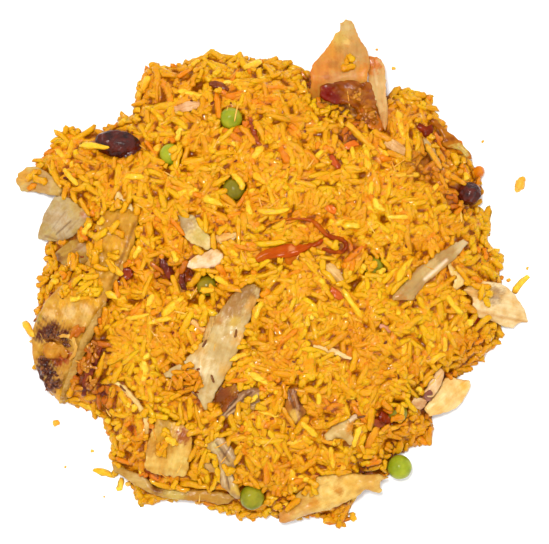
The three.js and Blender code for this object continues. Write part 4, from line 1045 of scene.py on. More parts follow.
onionSheet("onion_petal", "onion_petal_top", "onion_petal", seed=900)
onionSheet("onion_strip_upper", "onion_strip_top", "onion_strip", seed=920)
onionSheet("onion_strip_side", "onion_strip_right", "onion_strip", seed=940)
print("onion layers made")


# peas, raisins and the carrot ball

ballLook = dict(segments=64, rings=40, tall=0.92, dentFrom=0.30, dentOver=0.2, dentCurve=1.5, noise=(0.8, 2.1, 4))
raisinLook = dict(
    voxel=0.22, soften=6, foldScale=0.28, noise=(0.9, 2.0, 3, 1.0, 2.0), folds=(-1.5, 1.8),
    tones=((12, 2, 1), (32, 8, 2)),
)


def roundThing(name, node, dents, wrinkle, wrinkleSize, seed):  # a dent is a way from the middle, and its depth
    low, high = (np.array(corner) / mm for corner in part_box(node))
    bpy.ops.mesh.primitive_uv_sphere_add(
        segments=ballLook["segments"], ring_count=ballLook["rings"], radius=0.5, location=(0, 0, 0)
    )
    obj = bpy.context.object
    obj.name = name
    places = pointsOf(obj)
    middle = (low + high) / 2
    across = high - low
    across[2] = max(across[2], ballLook["tall"] * across[0])
    middle[2] = high[2] - across[2] / 2
    bumps = np.array([
        noise.fractal(Vector(p * wrinkleSize) + Vector((seed, 0, 0)), *ballLook["noise"]) for p in places
    ])
    places = places * (1 + wrinkle * bumps[:, None])
    for dx, dy, dz, depth in dents:
        way = np.array([dx, dy, dz]) / np.linalg.norm([dx, dy, dz])
        near = np.clip((places @ way - ballLook["dentFrom"]) / ballLook["dentOver"], 0, 1)
        places = places - way * (depth * near ** ballLook["dentCurve"])[:, None]
    movePoints(obj, (places * across + middle) * mm)
    return obj


peaTones = dict(
    pea_1=((48, 53, 6), (58, 59, 11)), pea_2=((45, 50, 6), (57, 56, 9)), pea_3=((39, 35, 3), (48, 42, 5)),
    pea_4=((42, 43, 4), (55, 52, 9)), pea_5=((46, 51, 5), (58, 61, 13)), pea_6=((44, 38, 3), (52, 43, 5)),
    pea_7=((45, 43, 5), (53, 50, 9)), pea_8=((41, 39, 5), (50, 46, 9)),
)
peaSkin = dict(
    dented=("pea_2", "pea_4", "pea_7"), dent=(0.4, -0.3, 0.8, 0.10), dentedWrinkle=0.035, wrinkle=0.015,
    size=2.2, seedStep=7.0,
)
for i, (node, tones) in enumerate(peaTones.items()):
    dented = node in peaSkin["dented"]
    dents = [peaSkin["dent"]] if dented else []
    wrinkle = peaSkin["dentedWrinkle" if dented else "wrinkle"]
    pea = roundThing(node + "_skin", node, dents, wrinkle, peaSkin["size"], seed=peaSkin["seedStep"] * i)
    finishPiece(pea, speckledFinish(
        node + "_finish", tones, cloud=(240, 3), stops=(0.35, 0.65), pores=(700, 3), depth=0.0003, strength=0.5,
        Roughness=0.2, Specular_IOR_Level=0.2, Subsurface_Weight=0.15, Subsurface_Scale=0.0015,
    ), "pea", node)
    toppings.append(pea)


def raisin(node, grow, shift, fold, seed):
    obj = copyOfNode(node, node + "_wrinkled")
    remeshPiece(obj, raisinLook["voxel"], raisinLook["soften"])
    places = pointsOf(obj) / mm
    middle = places.mean(0)
    away = places - middle
    folds = np.array([
        noise.ridged_multi_fractal(Vector(a * raisinLook["foldScale"]) + Vector((seed, 0, 0)), *raisinLook["noise"])
        for a in away
    ])
    folds = np.clip((folds - folds.mean()) / folds.std(), *raisinLook["folds"])
    places = middle + (shift, 0, 0) + away * (grow, 1, 1) * (1 - fold * folds)[:, None]
    movePoints(obj, places * mm)
    finishPiece(obj, speckledFinish(
        node + "_finish", raisinLook["tones"], cloud=(380, 4), stops=(0.35, 0.68), pores=(520, 3), depth=0.0008,
        strength=0.7, Roughness=0.13, Specular_IOR_Level=0.3,
    ), "raisin", node)
    toppings.append(obj)


raisin("raisin_left", grow=1.12, shift=0.8, fold=0.02, seed=3)
raisin("raisin_right", grow=1, shift=0, fold=0.04, seed=8)

carrotDent = (-0.6, 0.3, 0.7, 0.14)
ball = roundThing("carrot_ball", "carrot_ball_1", [carrotDent], wrinkle=0.1, wrinkleSize=2.0, seed=55)
finishPiece(ball, speckledFinish(
    "carrotBall", ((70, 36, 1), (80, 47, 3)), cloud=(400, 3), stops=(0.3, 0.7), pores=(900, 2), depth=0.0002,
    strength=0.4, Roughness=0.3, Coat_Weight=0.2, Specular_IOR_Level=0.14, Subsurface_Weight=0.2,
    Subsurface_Scale=0.002,
), "carrot", "carrot_ball_1")
toppings.append(ball)
print("peas, raisins and carrot made:", len(toppings))


# where the toppings lie on the fine grid; on the big ones some rice may lie over the rim

small = (
    "shred", "sliver", "bit", "strand", "browned", "chilli", "tomato", "carrot", "pea", "raisin", "arch", "strip",
)
guardLook = dict(rimSteps=8, heart=0.76, rim=0.3, restSteps=8)
guard = np.zeros_like(height)  # how much of each place has to stay free of rice
ceiling = np.full_like(height, beyond)  # how low the undersides hang


def readPieces(pieces, covered=1.0):
    for piece in pieces:
        places = pointsOf(piece) / mm
        low, high = places.min(0), places.max(0)
        columns = np.nonzero((gridAxis > low[0]) & (gridAxis < high[0]))[0]
        rows = np.nonzero((gridAxis > low[1]) & (gridAxis < high[1]))[0]
        x, y = np.meshgrid(gridAxis[columns], gridAxis[rows])
        tops = surfaceOf(piece, x, y, -1)
        window = np.ix_(rows, columns)
        height[window] = np.maximum(height[window], tops)
        ceiling[window] = np.minimum(ceiling[window], surfaceOf(piece, x, y, beyond, fromAbove=False))
        here = (tops > 0) * covered
        if not any(word in piece.name for word in small):
            nearRim = blur(here, guardLook["rimSteps"]) < guardLook["heart"]
            here = np.where((here > 0) & nearRim, guardLook["rim"], here)
        guard[window] = np.maximum(guard[window], here)


readPieces(toppings)


# things with no solid of their own: slivers, sauce, bits

def restingOn():  # the level of what lies there so far, with its steps softened
    ground = blur(np.maximum(height, target), guardLook["restSteps"])
    return lambda x, y: ground[cellOf(x, y)]


# Where a look leaves a value out, it's as in extraBase.
extraBase = dict(
    slot="grey_chicken", thick=1.2, lift=0.5, fray=0.3, strand=1, relief=0.2, lumps=0.25, round=1, voxel=0.3,
    rough=0.36, coat=0.075, speckles=0.4, covered=1,
)
sauce = dict(
    slot="glazed_meat", thick=1.4, fibre=60, relief=0.1, lumps=0.4, lift=-0.6, rough=0.18, coat=0.05, covered=0.02,
)
maroonSauce = dict(sauce, tones=[(34, 10, 2), (46, 18, 3), (56, 26, 4)])
redSauce = dict(sauce, tones=[(44, 10, 2), (56, 20, 3)])
orangeSauce = dict(sauce, tones=[(62, 30, 3), (74, 42, 5)])
clump = dict(slot="rice", thick=2.2, fibre=20, lumps=0.6, round=3, lift=-0.1, covered=0, tones=coreLook["tones"])
extraLooks = {
    # A dark strip in the gap along the long piece's right edge: partly gravy, partly painted shadow in that gap.
    "gap_strip": dict(
        maroonSauce, thick=1, covered=0.6,
        outline=[
            (-45.7, 21.6), (-44.7, 21.2), (-46, 15.5), (-49.1, 6.7), (-52.5, -1), (-55.6, -8.4), (-56.6, -7.8),
            (-53.5, -0.3), (-50.1, 7.4), (-47, 15.9),
        ],
    ),
    "rim_long_left": dict(
        slot="brown_chicken", thick=2.4, fibre=65, strand=3, lumps=0.3, fray=0.12, lift=0.9,
        tones=[(66, 48, 18), (70, 55, 27), (74, 60, 34)],
        outline=[
            (-57, -8.5), (-55.8, -7.8), (-57, -11.8), (-61, -20.1), (-64.9, -28.4), (-68.4, -36.3), (-71.3, -43.4),
            (-73.2, -42.7), (-71.6, -37.9), (-68.2, -29.4), (-64.5, -20.4), (-60.4, -13.5),
        ],
    ),
    "gravy_bump_left": dict(
        orangeSauce, thick=1.8, lumps=1.3, lift=0.5, tones=[(62, 37, 5), (72, 48, 11), (76, 54, 18)],
        outline=[
            (-77.9, -22.8), (-75.5, -21.4), (-72.8, -22.1), (-70.3, -23.4), (-68.9, -25.5), (-70, -27.5),
            (-72.8, -28.2), (-76.2, -27.8), (-77.9, -25.8),
        ],
        lines=[(-76.5, -27.9, -70, -27.6, 0.8, (44, 15, 4), 0.9)],
    ),
    "gravy_gap_left": dict(
        maroonSauce,
        outline=[(-37.8, 6.7), (-33.8, 5.4), (-32.4, 2), (-34.4, -1.3), (-37.8, -1), (-38.5, 2.7)],
    ),
    "gravy_gap_middle": dict(
        maroonSauce,
        outline=[(-29.7, 5.4), (-27.7, 4.7), (-28, 0.7), (-25, 0.7), (-26.3, -2), (-29, -1.3), (-30, 2)],
    ),
    "gravy_gap_edge": dict(
        redSauce,
        outline=[(-52.1, 2), (-49.4, 4.1), (-47, 3.4), (-47.3, 0.7), (-50.1, -1.7), (-52.5, -0.7)],
    ),
    "gravy_top": dict(
        orangeSauce,
        outline=[
            (29, 57.7), (32.5, 59.1), (34.5, 57.8), (36.5, 54.3), (38.2, 50.9), (36.4, 49.5), (33, 50.1), (31, 52.8),
            (28.3, 54.2),
        ],
    ),
    "gravy_low_right": dict(
        redSauce,
        outline=[(35.4, -48.1), (37, -44.6), (39.1, -46.4), (40.9, -48.2), (39.9, -50.9), (37.8, -50.9)],
    ),
    "gravy_right": dict(redSauce, outline=[(67.2, -10.9), (68.9, -10.2), (70.8, -14.3), (69.3, -16), (67.5, -14.3)]),
    "browned_sliver": dict(
        slot="browned_onion", fibre=50, rough=0.25, coat=0.175, tones=[(43, 21, 3), (52, 26, 1)],
        outline=[
            (-20, -40.1), (-17, -37), (-12.6, -34.9), (-10.6, -37), (-11.6, -39.7), (-14, -41.7), (-15.7, -44.8),
            (-17.7, -45.2), (-17, -41.7), (-19, -41.4),
        ],
        spots=[(-12.5, -37, 2, (62, 40, 5), 0.7)],
    ),
    "onion_bit_purple": dict(
        slot="onion_strip", thick=1.8, fibre=60, lumps=0.5, lift=1, rough=0.15, coat=0.2,
        tones=[(44, 22, 18), (60, 42, 36)],
        outline=[(51.7, -38.7), (53.5, -37.7), (54.5, -39.4), (54.3, -41.8), (52.5, -42.2), (51.4, -40.7)],
    ),
    "shred_splinter": dict(
        thick=1, fibre=65, lift=0.6, tones=[(75, 59, 33), (79, 66, 43)],
        outline=[
            (-18.6, -11.1), (-17.9, -12.1), (-20, -16.1), (-21.3, -19.8), (-22.7, -21.8), (-23.7, -20.5),
            (-22, -16.1), (-20.6, -12.7),
        ],
    ),
    "shred_middle_left": dict(
        thick=1, fibre=-40, lift=0.6, tones=[(82, 56, 29), (86, 66, 37)],
        outline=[
            (-29.4, -11.7), (-27.7, -12.7), (-25, -14.8), (-22.3, -16.8), (-23, -18.1), (-26, -16.4), (-28.7, -14.1),
        ],
    ),
    "shred_arch": dict(
        thick=0.9, fibre=25, lift=0.4, tones=[(80, 69, 55), (84, 76, 66)],
        outline=[(25.2, -47.3), (27.9, -45.6), (29.6, -46.3), (28.5, -47.6), (26.2, -48.6)],
    ),
    "onion_bit_pink": dict(
        slot="onion_strip", thick=1.4, fibre=0, lift=0.4, rough=0.3, coat=0.125, tones=[(74, 53, 35), (82, 69, 49)],
        outline=[(46.6, -42.7), (48.3, -40.7), (51.1, -40.7), (52.9, -42.5), (50.8, -44.9), (47.7, -44.1)],
    ),
    "shred_white": dict(
        fibre=8, tones=[(87, 67, 37), (91, 72, 45)],
        outline=[(-19.3, 14.4), (-16.3, 15.1), (-12.9, 15.4), (-12.6, 13.8), (-15.6, 12.4), (-18.6, 11.8)],
    ),
    "shred_cream": dict(
        fibre=-40, tones=[(75, 60, 34), (78, 65, 41)],
        outline=[(-24.3, -61.8), (-21.9, -61.8), (-19.5, -63.5), (-18.9, -66), (-21.3, -65.7), (-23.6, -64.3)],
    ),
    "onion_ring_left": dict(
        slot="onion_strip", thick=1.9, fibre=60, lumps=0.1, round=1.1, lift=1.5, rough=0.25, coat=0.125,
        tones=[(74, 52, 16), (80, 62, 28)],
        outline=[
            (-72.5, -20.6), (-70.7, -19.9), (-69, -20.1), (-67.8, -21.3), (-67.2, -23.4), (-67.6, -25.6),
            (-69.1, -27.4), (-68.5, -28), (-66.4, -26.2), (-65.7, -23.3), (-66.4, -20.6), (-68.3, -18.8),
            (-70.9, -18.7), (-72.9, -19.8),
        ],
    ),
    "carrot_flake": dict(
        slot="carrot", thick=1.6, fibre=40, lumps=0.9, fray=0.9, round=0.6, lift=0.3, rough=0.25, coat=0.1,
        tones=[(67, 35, 2), (72, 44, 5)],
        outline=[
            (-68.7, -20.5), (-68.3, -18.1), (-67.2, -16.3), (-65.4, -15.5), (-64.7, -16.3), (-63, -16.3),
            (-63.3, -18), (-64.7, -18.4), (-65.5, -19.7), (-66.5, -18.7), (-67.3, -20.4),
        ],
    ),
    "shred_pink_right": dict(
        fibre=-30, tones=[(80, 52, 36), (83, 60, 48)],
        outline=[(35.8, -15.1), (38.2, -15.5), (40.9, -17.5), (41.2, -18.5), (38.5, -18.2), (36.1, -16.5)],
    ),
    "onion_bit_clear": dict(
        slot="onion_strip", fibre=75, lift=0.2, rough=0.2, coat=0.2, tones=[(74, 44, 1), (85, 58, 3)],
        outline=[(30.6, -58.8), (33.2, -57.6), (35.8, -53.2), (36.6, -49.6), (34.2, -50.6), (32, -54.4)],
    ),
    "shred_right": dict(
        thick=1.4, fibre=60, lift=0.7, tones=[(84, 70, 40), (88, 76, 50)],
        outline=[
            (59.1, 4.7), (60.4, 5.2), (61.8, 3.4), (63.2, 1.7), (65, 0.3), (65.7, -2), (63.9, -2.7), (62.5, -4.1),
            (60.8, -3.4), (61.5, -1), (60.1, 1.4),
        ],
    ),
    "rice_clump_left": dict(
        clump,
        outline=[
            (-74.5, 2.4), (-72.3, 4.6), (-67.1, 5.4), (-60.1, 3.4), (-57, -2), (-59.1, -6.8), (-65.4, -7.5),
            (-71.5, -6.5), (-74, -4.4), (-75, -1.4),
        ],
    ),
    "rice_clump_far_left": dict(
        clump,
        outline=[(-71.1, 37.1), (-66.6, 38.3), (-61.5, 36.1), (-60, 32), (-63.5, 29.3), (-67.8, 31.4)],
    ),
    "rice_clump_middle": dict(
        clump,
        outline=[
            (-34.2, -32.3), (-30.5, -30.3), (-25.7, -31.3), (-23, -34.3), (-25.1, -37.7), (-29.8, -39.1),
            (-33.5, -36.4),
        ],
    ),
    "rice_clump_small_left": dict(
        clump,
        outline=[(-62.6, 19), (-59.1, 18.3), (-57, 12.9), (-58.4, 5.4), (-61.1, 3.4), (-63.3, 8.8)],
    ),
}
for name, ownLook in extraLooks.items():
    seed += 11
    look = dict(extraBase, **ownLook)
    piece = tornPiece(name, restingOn(), look, seed)
    finishPiece(piece, meatFinish(name + "_finish", look["rough"], look["coat"], look["speckles"]), look["slot"])
    readPieces([piece], look["covered"])
print("extra slivers and sauce made:", len(extraLooks))

# Burnt crust and soft bits lie here: x, y and reach.
chosenBits = dict(
    crust=[
        (-77, -19, 2), (-74.3, -18, 2.2), (-71.6, -18.9, 1.6), (-69.9, -22.4, 1.3), (-77.7, -30.6, 2.2),
        (-75.6, -33.3, 3), (-73.8, -36, 2.6), (-76.5, -36.7, 1.5), (-78.8, -27.5, 1.3),
    ],
    mush=[(-61, -23.5, 2.2), (-62.4, -30, 2.4), (-61.5, -36, 2.4), (33, 55, 3.2), (28.5, 62.5, 2.2)],
)
# Rice covers the toppings here: x, y and reach.
buried = [
    (-60.6, 14, 2.5), (-60.2, 8.8, 2.3), (-76.2, -0.7, 4.7), (-69.6, 1, 4.7), (-63.6, -0.7, 4.7), (-60.1, -4.4, 2.4),
    (-67.1, 5.4, 3), (-65.8, 34.1, 4), (-71.1, 37.1, 2), (-28.4, -34.3, 5.1), (-36.1, -52.9, 2), (-20.3, -4, 2),
    (-17, 27.2, 2), (-31.2, 42, 2.3), (-29.8, 39.2, 2), (-14.7, 57.4, 2.1), (-7.5, -78.2, 2.2), (42.8, -42.9, 2.5),
    (31.1, 5.4, 2.4), (35.8, 1.4, 1.7), (44.3, -47.5, 2.4), (-3.6, -69.1, 1.3), (40.5, -7.4, 1.3), (5.2, -41, 1.7),
    (-22, 4.7, 1.3), (-23.4, -1, 1.6), (-76.8, 1.7, 2.4), (-71, -4, 3), (-13.6, -41, 1.3), (-11, -67, 1.7),
    (19.5, -58.3, 1.3),
]
# Gravy has soaked in here, and the rice lies lower: x, y, reach and kind.
maroonStain = dict(grains=(66, 33, 3), core=(36, 10, 2), sinks=1.0)
redStain = dict(grains=(76, 42, 3), core=(50, 18, 2), sinks=0.5)
brownStain = dict(grains=(70, 44, 7), core=(50, 26, 5), sinks=0.3)
stains = [
    (-59.5, -24.4, 3.7, maroonStain), (-64, -34.1, 4, maroonStain), (-58.4, -38.1, 3, maroonStain),
    (-54.3, -41.8, 2, redStain), (-59.4, -14.2, 3, redStain), (-36.1, 2.7, 3.4, maroonStain),
    (-28.7, 2, 3, maroonStain), (-49.7, 1.7, 2.7, redStain), (62.4, 28.2, 3.7, maroonStain),
    (51.7, 38.3, 5.1, brownStain), (59, 46.1, 3, redStain), (33.1, 55.3, 4.7, brownStain), (38.1, -47.1, 3, redStain),
    (25.5, 48.3, 3.4, maroonStain), (-47.5, -51.1, 1.7, redStain), (-56.7, -40.5, 1.7, maroonStain),
    (68.6, -12.3, 2, redStain), (-13.6, -40.4, 3.4, maroonStain), (53.5, -39.8, 1.7, redStain),
    (19.4, -43.8, 2, redStain), (-19.3, -24.2, 1.3, redStain), (-42.1, -67.8, 3, redStain),
    (-11, 49.9, 2.7, redStain), (26.7, 9.4, 2.4, redStain),
]
stainEdge = dict(reach=1.6, most=0.9, ragged=0.3, size=4)


def stained(x, y, tints, which):
    ragged = stainEdge["ragged"] * ripple(x, y, stainEdge["size"], 91)
    for sx, sy, reach, kind in stains:
        away = np.hypot(x - sx, y - sy) / reach + ragged
        tints = laidOver(tints, kind[which], np.clip(stainEdge["reach"] - away, 0, stainEdge["most"]))
    return tints


# grains: one form of each kind, laid one on another

grainLook = dict(
    sides=6, rings=7, flat=0.7, length=(5.6, 10.8), width=(1.7, 2.8), broken=(2, 5), brokenShare=0.28,
    brokenWidth=0.9, rough=0.08, steepest=0.45, plan=2.6, flow=6, flowScale=0.08, yawSpread=0.65,
    under=2600, over=9500, loose=3600, tries=6, snugUnder=0.1, snugOver=-0.8, snugLoose=-0.35,
    mayCover=0.17, coverCost=50, slope=1.3, above=1.6, spareUnder=0.6, spareOver=1.0, spareLoose=1.2,
    backFromRim=1.2, roughWays=(0.3, 1, 1), floor=0.05,
)
grainEnds = dict(blunt=3.2, bluntShare=0.15, thinnest=0.03, fullest=1.3, waist=0.35, bendFrom=0.3)


def modelGrain(name, bend, taper, waist):
    bpy.ops.mesh.primitive_uv_sphere_add(
        segments=grainLook["sides"], ring_count=grainLook["rings"], radius=0.5, location=(0, 0, 0)
    )
    obj = bpy.context.object
    obj.name = name
    edit("SELECT")
    bpy.ops.transform.rotate(value=math.pi / 2, orient_axis="Y", center_override=(0, 0, 0))
    editDone()
    places = pointsOf(obj)
    along = places[:, 0] * 2
    ends = 1 - np.abs(along) ** grainEnds["blunt"] * grainEnds["bluntShare"]
    full = ends / np.sqrt(np.maximum(1 - along ** 2, grainEnds["thinnest"]))
    narrow = 1 - waist * np.exp(-(along / grainEnds["waist"]) ** 2)
    full = np.minimum(full, grainEnds["fullest"]) * (1 - taper * along) * narrow
    places[:, 1] *= full
    places[:, 2] *= full
    places[:, 1] += bend * (along ** 2 - grainEnds["bendFrom"])
    movePoints(obj, places)
    return obj


grainForms = [
    modelGrain("grain_straight", bend=0.05, taper=0.05, waist=0),
    modelGrain("grain_curved", bend=0.2, taper=0.1, waist=0.06),
    modelGrain("grain_hooked", bend=-0.3, taper=0.16, waist=0),
    modelGrain("grain_slim", bend=0.1, taper=-0.14, waist=0.1),
    modelGrain("grain_split", bend=-0.12, taper=0.2, waist=0.16),
    modelGrain("grain_broken", bend=0.02, taper=0.34, waist=-0.08),
]
grainPoints = [pointsOf(form) for form in grainForms]
grainFaces = [[list(face.vertices) for face in form.data.polygons] for form in grainForms]
for form in grainForms:
    bpy.data.objects.remove(form)


# A grain rests on two places, one under each half: of all such pairs, the one that holds its middle highest.
# Its middle lies above them by snug times half its thickness, so below 0 it sinks in. It may cover guarded places
# up to the share allowed, and stand above the roof by over.
def layGrain(x, y, yaw, length, width, snug, allowed, over=0):
    half = length / 2
    row, column = (int(round((place - gridLow) / cell - 0.5)) for place in (y, x))
    reach = int(half / cell) + 2
    window = (slice(row - reach, row + reach + 1), slice(column - reach, column + reach + 1))
    along, across = alongAndAcross(gridX[window] - x, gridY[window] - y, yaw)
    left = 1 - np.abs(along / half) ** grainLook["plan"] - (across / (width / 2)) ** 2
    inside = left > 0
    if guard[window][inside].mean() > allowed:
        return None
    s = along[inside]
    thick = width / 2 * grainLook["flat"] * np.sqrt(left[inside])
    ground = height[window][inside] + thick * snug
    back = s <= 0
    sb, gb = s[back][:, None], ground[back][:, None]
    sf, gf = s[~back][None, :], ground[~back][None, :]
    level = (gb * sf - gf * sb) / (sf - sb)
    best = np.unravel_index(np.argmax(level), level.shape)
    slope = float((gf[0, best[1]] - gb[best[0], 0]) / (sf[0, best[1]] - sb[best[0], 0]))
    middle = float(level[best])
    if abs(slope) > grainLook["steepest"]:
        slope = math.copysign(grainLook["steepest"], slope)
        middle = float(np.max(ground - slope * s))
    top = middle + slope * s + thick
    if float(np.max(top - roof[window][inside])) > over:
        return None
    height[window][inside] = np.maximum(height[window][inside], top)
    return x, y, middle, yaw, math.atan(slope), length, width


def drawPlaces(count):
    turn = chance.random(count) * math.tau
    edge = reachAt(np.cos(turn), np.sin(turn)) - grainLook["backFromRim"]
    distance = edge * np.sqrt(chance.random(count))
    return distance * np.cos(turn), distance * np.sin(turn)


def layMany(count, snug, goal, spare):  # each grain goes to the place, of a few, that is furthest below its goal
    laid = []
    for i in range(count):
        xs, ys = drawPlaces(grainLook["tries"])
        where = cellOf(xs, ys)
        need = goal[where] - height[where] - grainLook["coverCost"] * (guard[where] > 0.5)
        pick = int(np.argmax(need))
        if need[pick] < -spare:
            continue
        x, y = float(xs[pick]), float(ys[pick])
        flow = noise.noise(Vector((x * grainLook["flowScale"], y * grainLook["flowScale"], 3)))
        yaw = grainLook["flow"] * flow + chance.normal(0, grainLook["yawSpread"])
        broken = chance.random() < grainLook["brokenShare"]
        length = chance.uniform(*grainLook["broken" if broken else "length"])
        width = chance.uniform(*grainLook["width"]) * (grainLook["brokenWidth"] if broken else 1)
        rest = layGrain(x, y, yaw, length, width, snug, grainLook["mayCover"])
        if rest:
            laid.append(rest)
    return laid


# The rice stands as high as the toppings beside it, and in clumps elsewhere.
rise = dict(
    reach=30, least=0.02, beside=(-0.5, 2.4), besideShare=2.4, clump=0.8, clumpSize=17, tuft=0.6, tuftSize=7,
    clumpShare=1.6, stainReach=1.2, overBuried=1.6, rim=2.0, rimBeside=2.5, outside=-3, roofOutside=3.5, underRim=1.4,
    underSink=0.5, proud=0.3, proudOnPieces=0.5, proudSteps=50, looseAbove=0.5, roofAbove=0.8,
    nearCells=(-2, 0, 2), intoPieces=0.3,
)
toppingHeight = height.copy()
covered = (guard > 0).astype(float)
near = blur(covered, rise["reach"])
excess = blur(covered * (toppingHeight - target), rise["reach"]) / np.maximum(near, rise["least"])
target += np.clip(excess, *rise["beside"]) * np.clip(near * rise["besideShare"], 0, 1)
clumps = rise["clump"] * ripple(gridX, gridY, rise["clumpSize"], 61)
clumps += rise["tuft"] * ripple(gridX, gridY, rise["tuftSize"], 62)
target += clumps * (1 - np.clip(near * rise["clumpShare"], 0, 1))
for x, y, reach, kind in stains:
    away = (gridX - x) ** 2 + (gridY - y) ** 2
    target -= kind["sinks"] * np.exp(-away / (rise["stainReach"] * reach) ** 2)
for x, y, reach in buried:
    over = np.hypot(gridX - x, gridY - y) < reach
    guard[over] = 0
    target[over] = np.maximum(target[over], toppingHeight[over] + rise["overBuried"])
fromRim = np.maximum(reachAt(gridX, gridY) - np.hypot(gridX, gridY), 0)
bank = grainLook["slope"] * fromRim
target = np.minimum(target, rise["rim"] + bank + rise["rimBeside"] * np.clip(near, 0, 1))
target = np.where(inHeap > 0, np.maximum(target, rise["rim"]), rise["outside"])
roof = np.maximum(target, toppingHeight * (guard > 0)) + grainLook["above"]
roof = np.where(inHeap > 0, roof, np.maximum(roof, rise["roofOutside"]))

# The lowest grains are laid as if no topping were there, and then the toppings come back.
height = np.clip(heapSoft - coreLook["sink"], 0, np.maximum(bank - rise["underRim"], 0)) * inHeap
ownGuard = guard
guard = np.zeros_like(guard)
layMany(grainLook["under"], grainLook["snugUnder"], target - rise["underSink"], grainLook["spareUnder"])
guard = ownGuard
lowCeiling = ceiling
for down in rise["nearCells"]:
    for aside in rise["nearCells"]:
        lowCeiling = np.minimum(lowCeiling, np.roll(ceiling, (down, aside), (0, 1)))
underPieces = np.maximum(lowCeiling + rise["intoPieces"], 0)
underHeight = np.minimum(height, underPieces)
height = np.where(toppingHeight > 0, np.maximum(underHeight, toppingHeight), underHeight)
print("under layer laid")

raised = target + rise["proud"] + rise["proudOnPieces"] * blur((guard > 0.5).astype(float), rise["proudSteps"])
roof += rise["roofAbove"]
laid = layMany(grainLook["over"], grainLook["snugOver"], raised, grainLook["spareOver"])
print("grains set in:", len(laid))
raised = raised + rise["looseAbove"]
laid += layMany(grainLook["loose"], grainLook["snugLoose"], raised, grainLook["spareLoose"])

# A few grains lie over the edges of the toppings: x, y, how many, how far round.
heapsOver = [
    (-65.3, -1.4, 26, 6), (-71.8, -4.1, 10, 4), (-54.2, 5.4, 10, 4), (-80, 35.1, 10, 3.5), (-29.1, -34.7, 15, 4.5),
    (-36.2, -56.8, 8, 3), (-72.5, 2, 10, 4), (-54.2, 15.5, 7, 2.5), (-16.1, -65.3, 6, 2.5), (-9.3, -41.7, 6, 2.5),
    (-37, -73.7, 8, 3), (12.8, -71.7, 10, 3.5), (70.7, -4.8, 8, 3), (39.4, -60.4, 8, 3), (68, 37, 5, 1.6),
    (69.4, 34.2, 4, 1.6), (-54.3, 24.4, 7, 2.6), (-58.5, 21.7, 8, 2.6), (-59.8, 15.6, 7, 2.4), (-49.5, 25, 5, 2),
    (41.8, -58, 5, 2.5), (-78.5, -1, 14, 2.6), (-77.5, 2.2, 6, 3), (25.2, 72.6, 5, 2.2), (-31.9, 43.2, 6, 2),
    (42.6, -48.5, 5, 2), (39.1, -43.6, 5, 2), (-7.7, -79.5, 9, 3.2), (-11.9, -78.4, 5, 2.5), (33.4, 5.4, 4, 1.6),
    (69.2, 38.4, 5, 2), (-35.5, -55, 9, 3), (-41.5, -46.1, 4, 2), (3.6, -77.9, 7, 3), (-79.3, 18.6, 4, 1.2),
]
strewn = dict(length=(3, 8), width=(1.9, 2.7))
for x, y, count, spread in heapsOver:
    for i in range(count):
        place = chance.normal((x, y), spread / 2)
        length = chance.uniform(*strewn["length"])
        yaw, width = chance.uniform(0, math.pi), chance.uniform(*strewn["width"])
        rest = layGrain(*place, yaw, length, width, snug=0, allowed=1.1, over=0.8)
        if rest:
            laid.append(rest)

# Long grains that stand out, from end to end.
longGrains = [
    (-61.8, -65.8, -54.2, -68.5), (-53.2, -73.7, -51.5, -68.9), (82.8, -5.2, 88.3, 1), (-85.2, -14.5, -80.7, -20.3),
    (-5.2, 22.2, 5.9, 22.5), (23.3, 17.8, 29.7, 17.5), (41.2, -1, 47, 7.1), (42.4, 57.2, 44.3, 47.5),
    (51.6, 46.3, 57.3, 36.7), (24.5, 52.8, 34.6, 43.2), (23.3, -3.3, 30.1, -13.4), (-3.5, -7.4, -5.9, -13.4),
    (-71.1, 37.1, -65.7, 31.4), (-66.3, 45.4, -54.7, 44.3), (33.5, 26.3, 37.5, 22.2), (58.4, -5.8, 64.3, -12.6),
    (53.3, -28.4, 58.5, -25.1), (19.5, -56.9, 20.6, -63.9), (27, -57.3, 29.6, -49.7), (-28.7, 6.1, -31.1, 1.4),
    (-33.8, 9.4, -31.7, 5.4), (-24.3, -4, -18.9, -4), (-13.3, 35.4, -9.3, 29.7), (-23.5, 27, -16.5, 24.5),
    (27.4, -80.6, 28.1, -84), (-7.6, -31.6, -1.5, -35.3), (15.4, -53.7, 9.3, -47.9), (-46.7, 6.7, -44.3, 10.8),
    (-64, 14.6, -61.2, 19), (-8.6, 26.2, -7.2, 21.1), (-42.2, 69.5, -44.8, 63.8),
]
longWidth = 2.2
shownFrom = len(laid)
for x1, y1, x2, y2 in longGrains:
    yaw, length = math.atan2(y2 - y1, x2 - x1), math.hypot(x2 - x1, y2 - y1)
    rest = layGrain((x1 + x2) / 2, (y1 + y2) / 2, yaw, length, longWidth, snug=0, allowed=1.1, over=9)
    if rest:
        laid.append(rest)
print("grains laid:", len(laid))


# rice core: what lies under the top grains, with their form as relief

around = blur(height, coreLook["wider"])
filled = blur(height, coreLook["close"]) - coreLook["fill"]
filled = np.maximum(filled, blur(height, coreLook["wide"]) - coreLook["clog"])
coreHeight = np.maximum(underHeight, filled)
nearEdge = np.maximum(coreHeight, blur(height, 1) - coreLook["edgeFill"])
coreHeight = np.where(fromRim < coreLook["edgeBand"], nearEdge, coreHeight)
coreHeight = np.minimum(coreHeight, underPieces)
coreBank = coreLook["rim"] + grainLook["slope"] * (fromRim - coreLook["backFromRim"]) + coreLook["rimBeside"] * near
coreHeight = np.where(inHeap > 0, np.minimum(coreHeight, coreBank), 0)

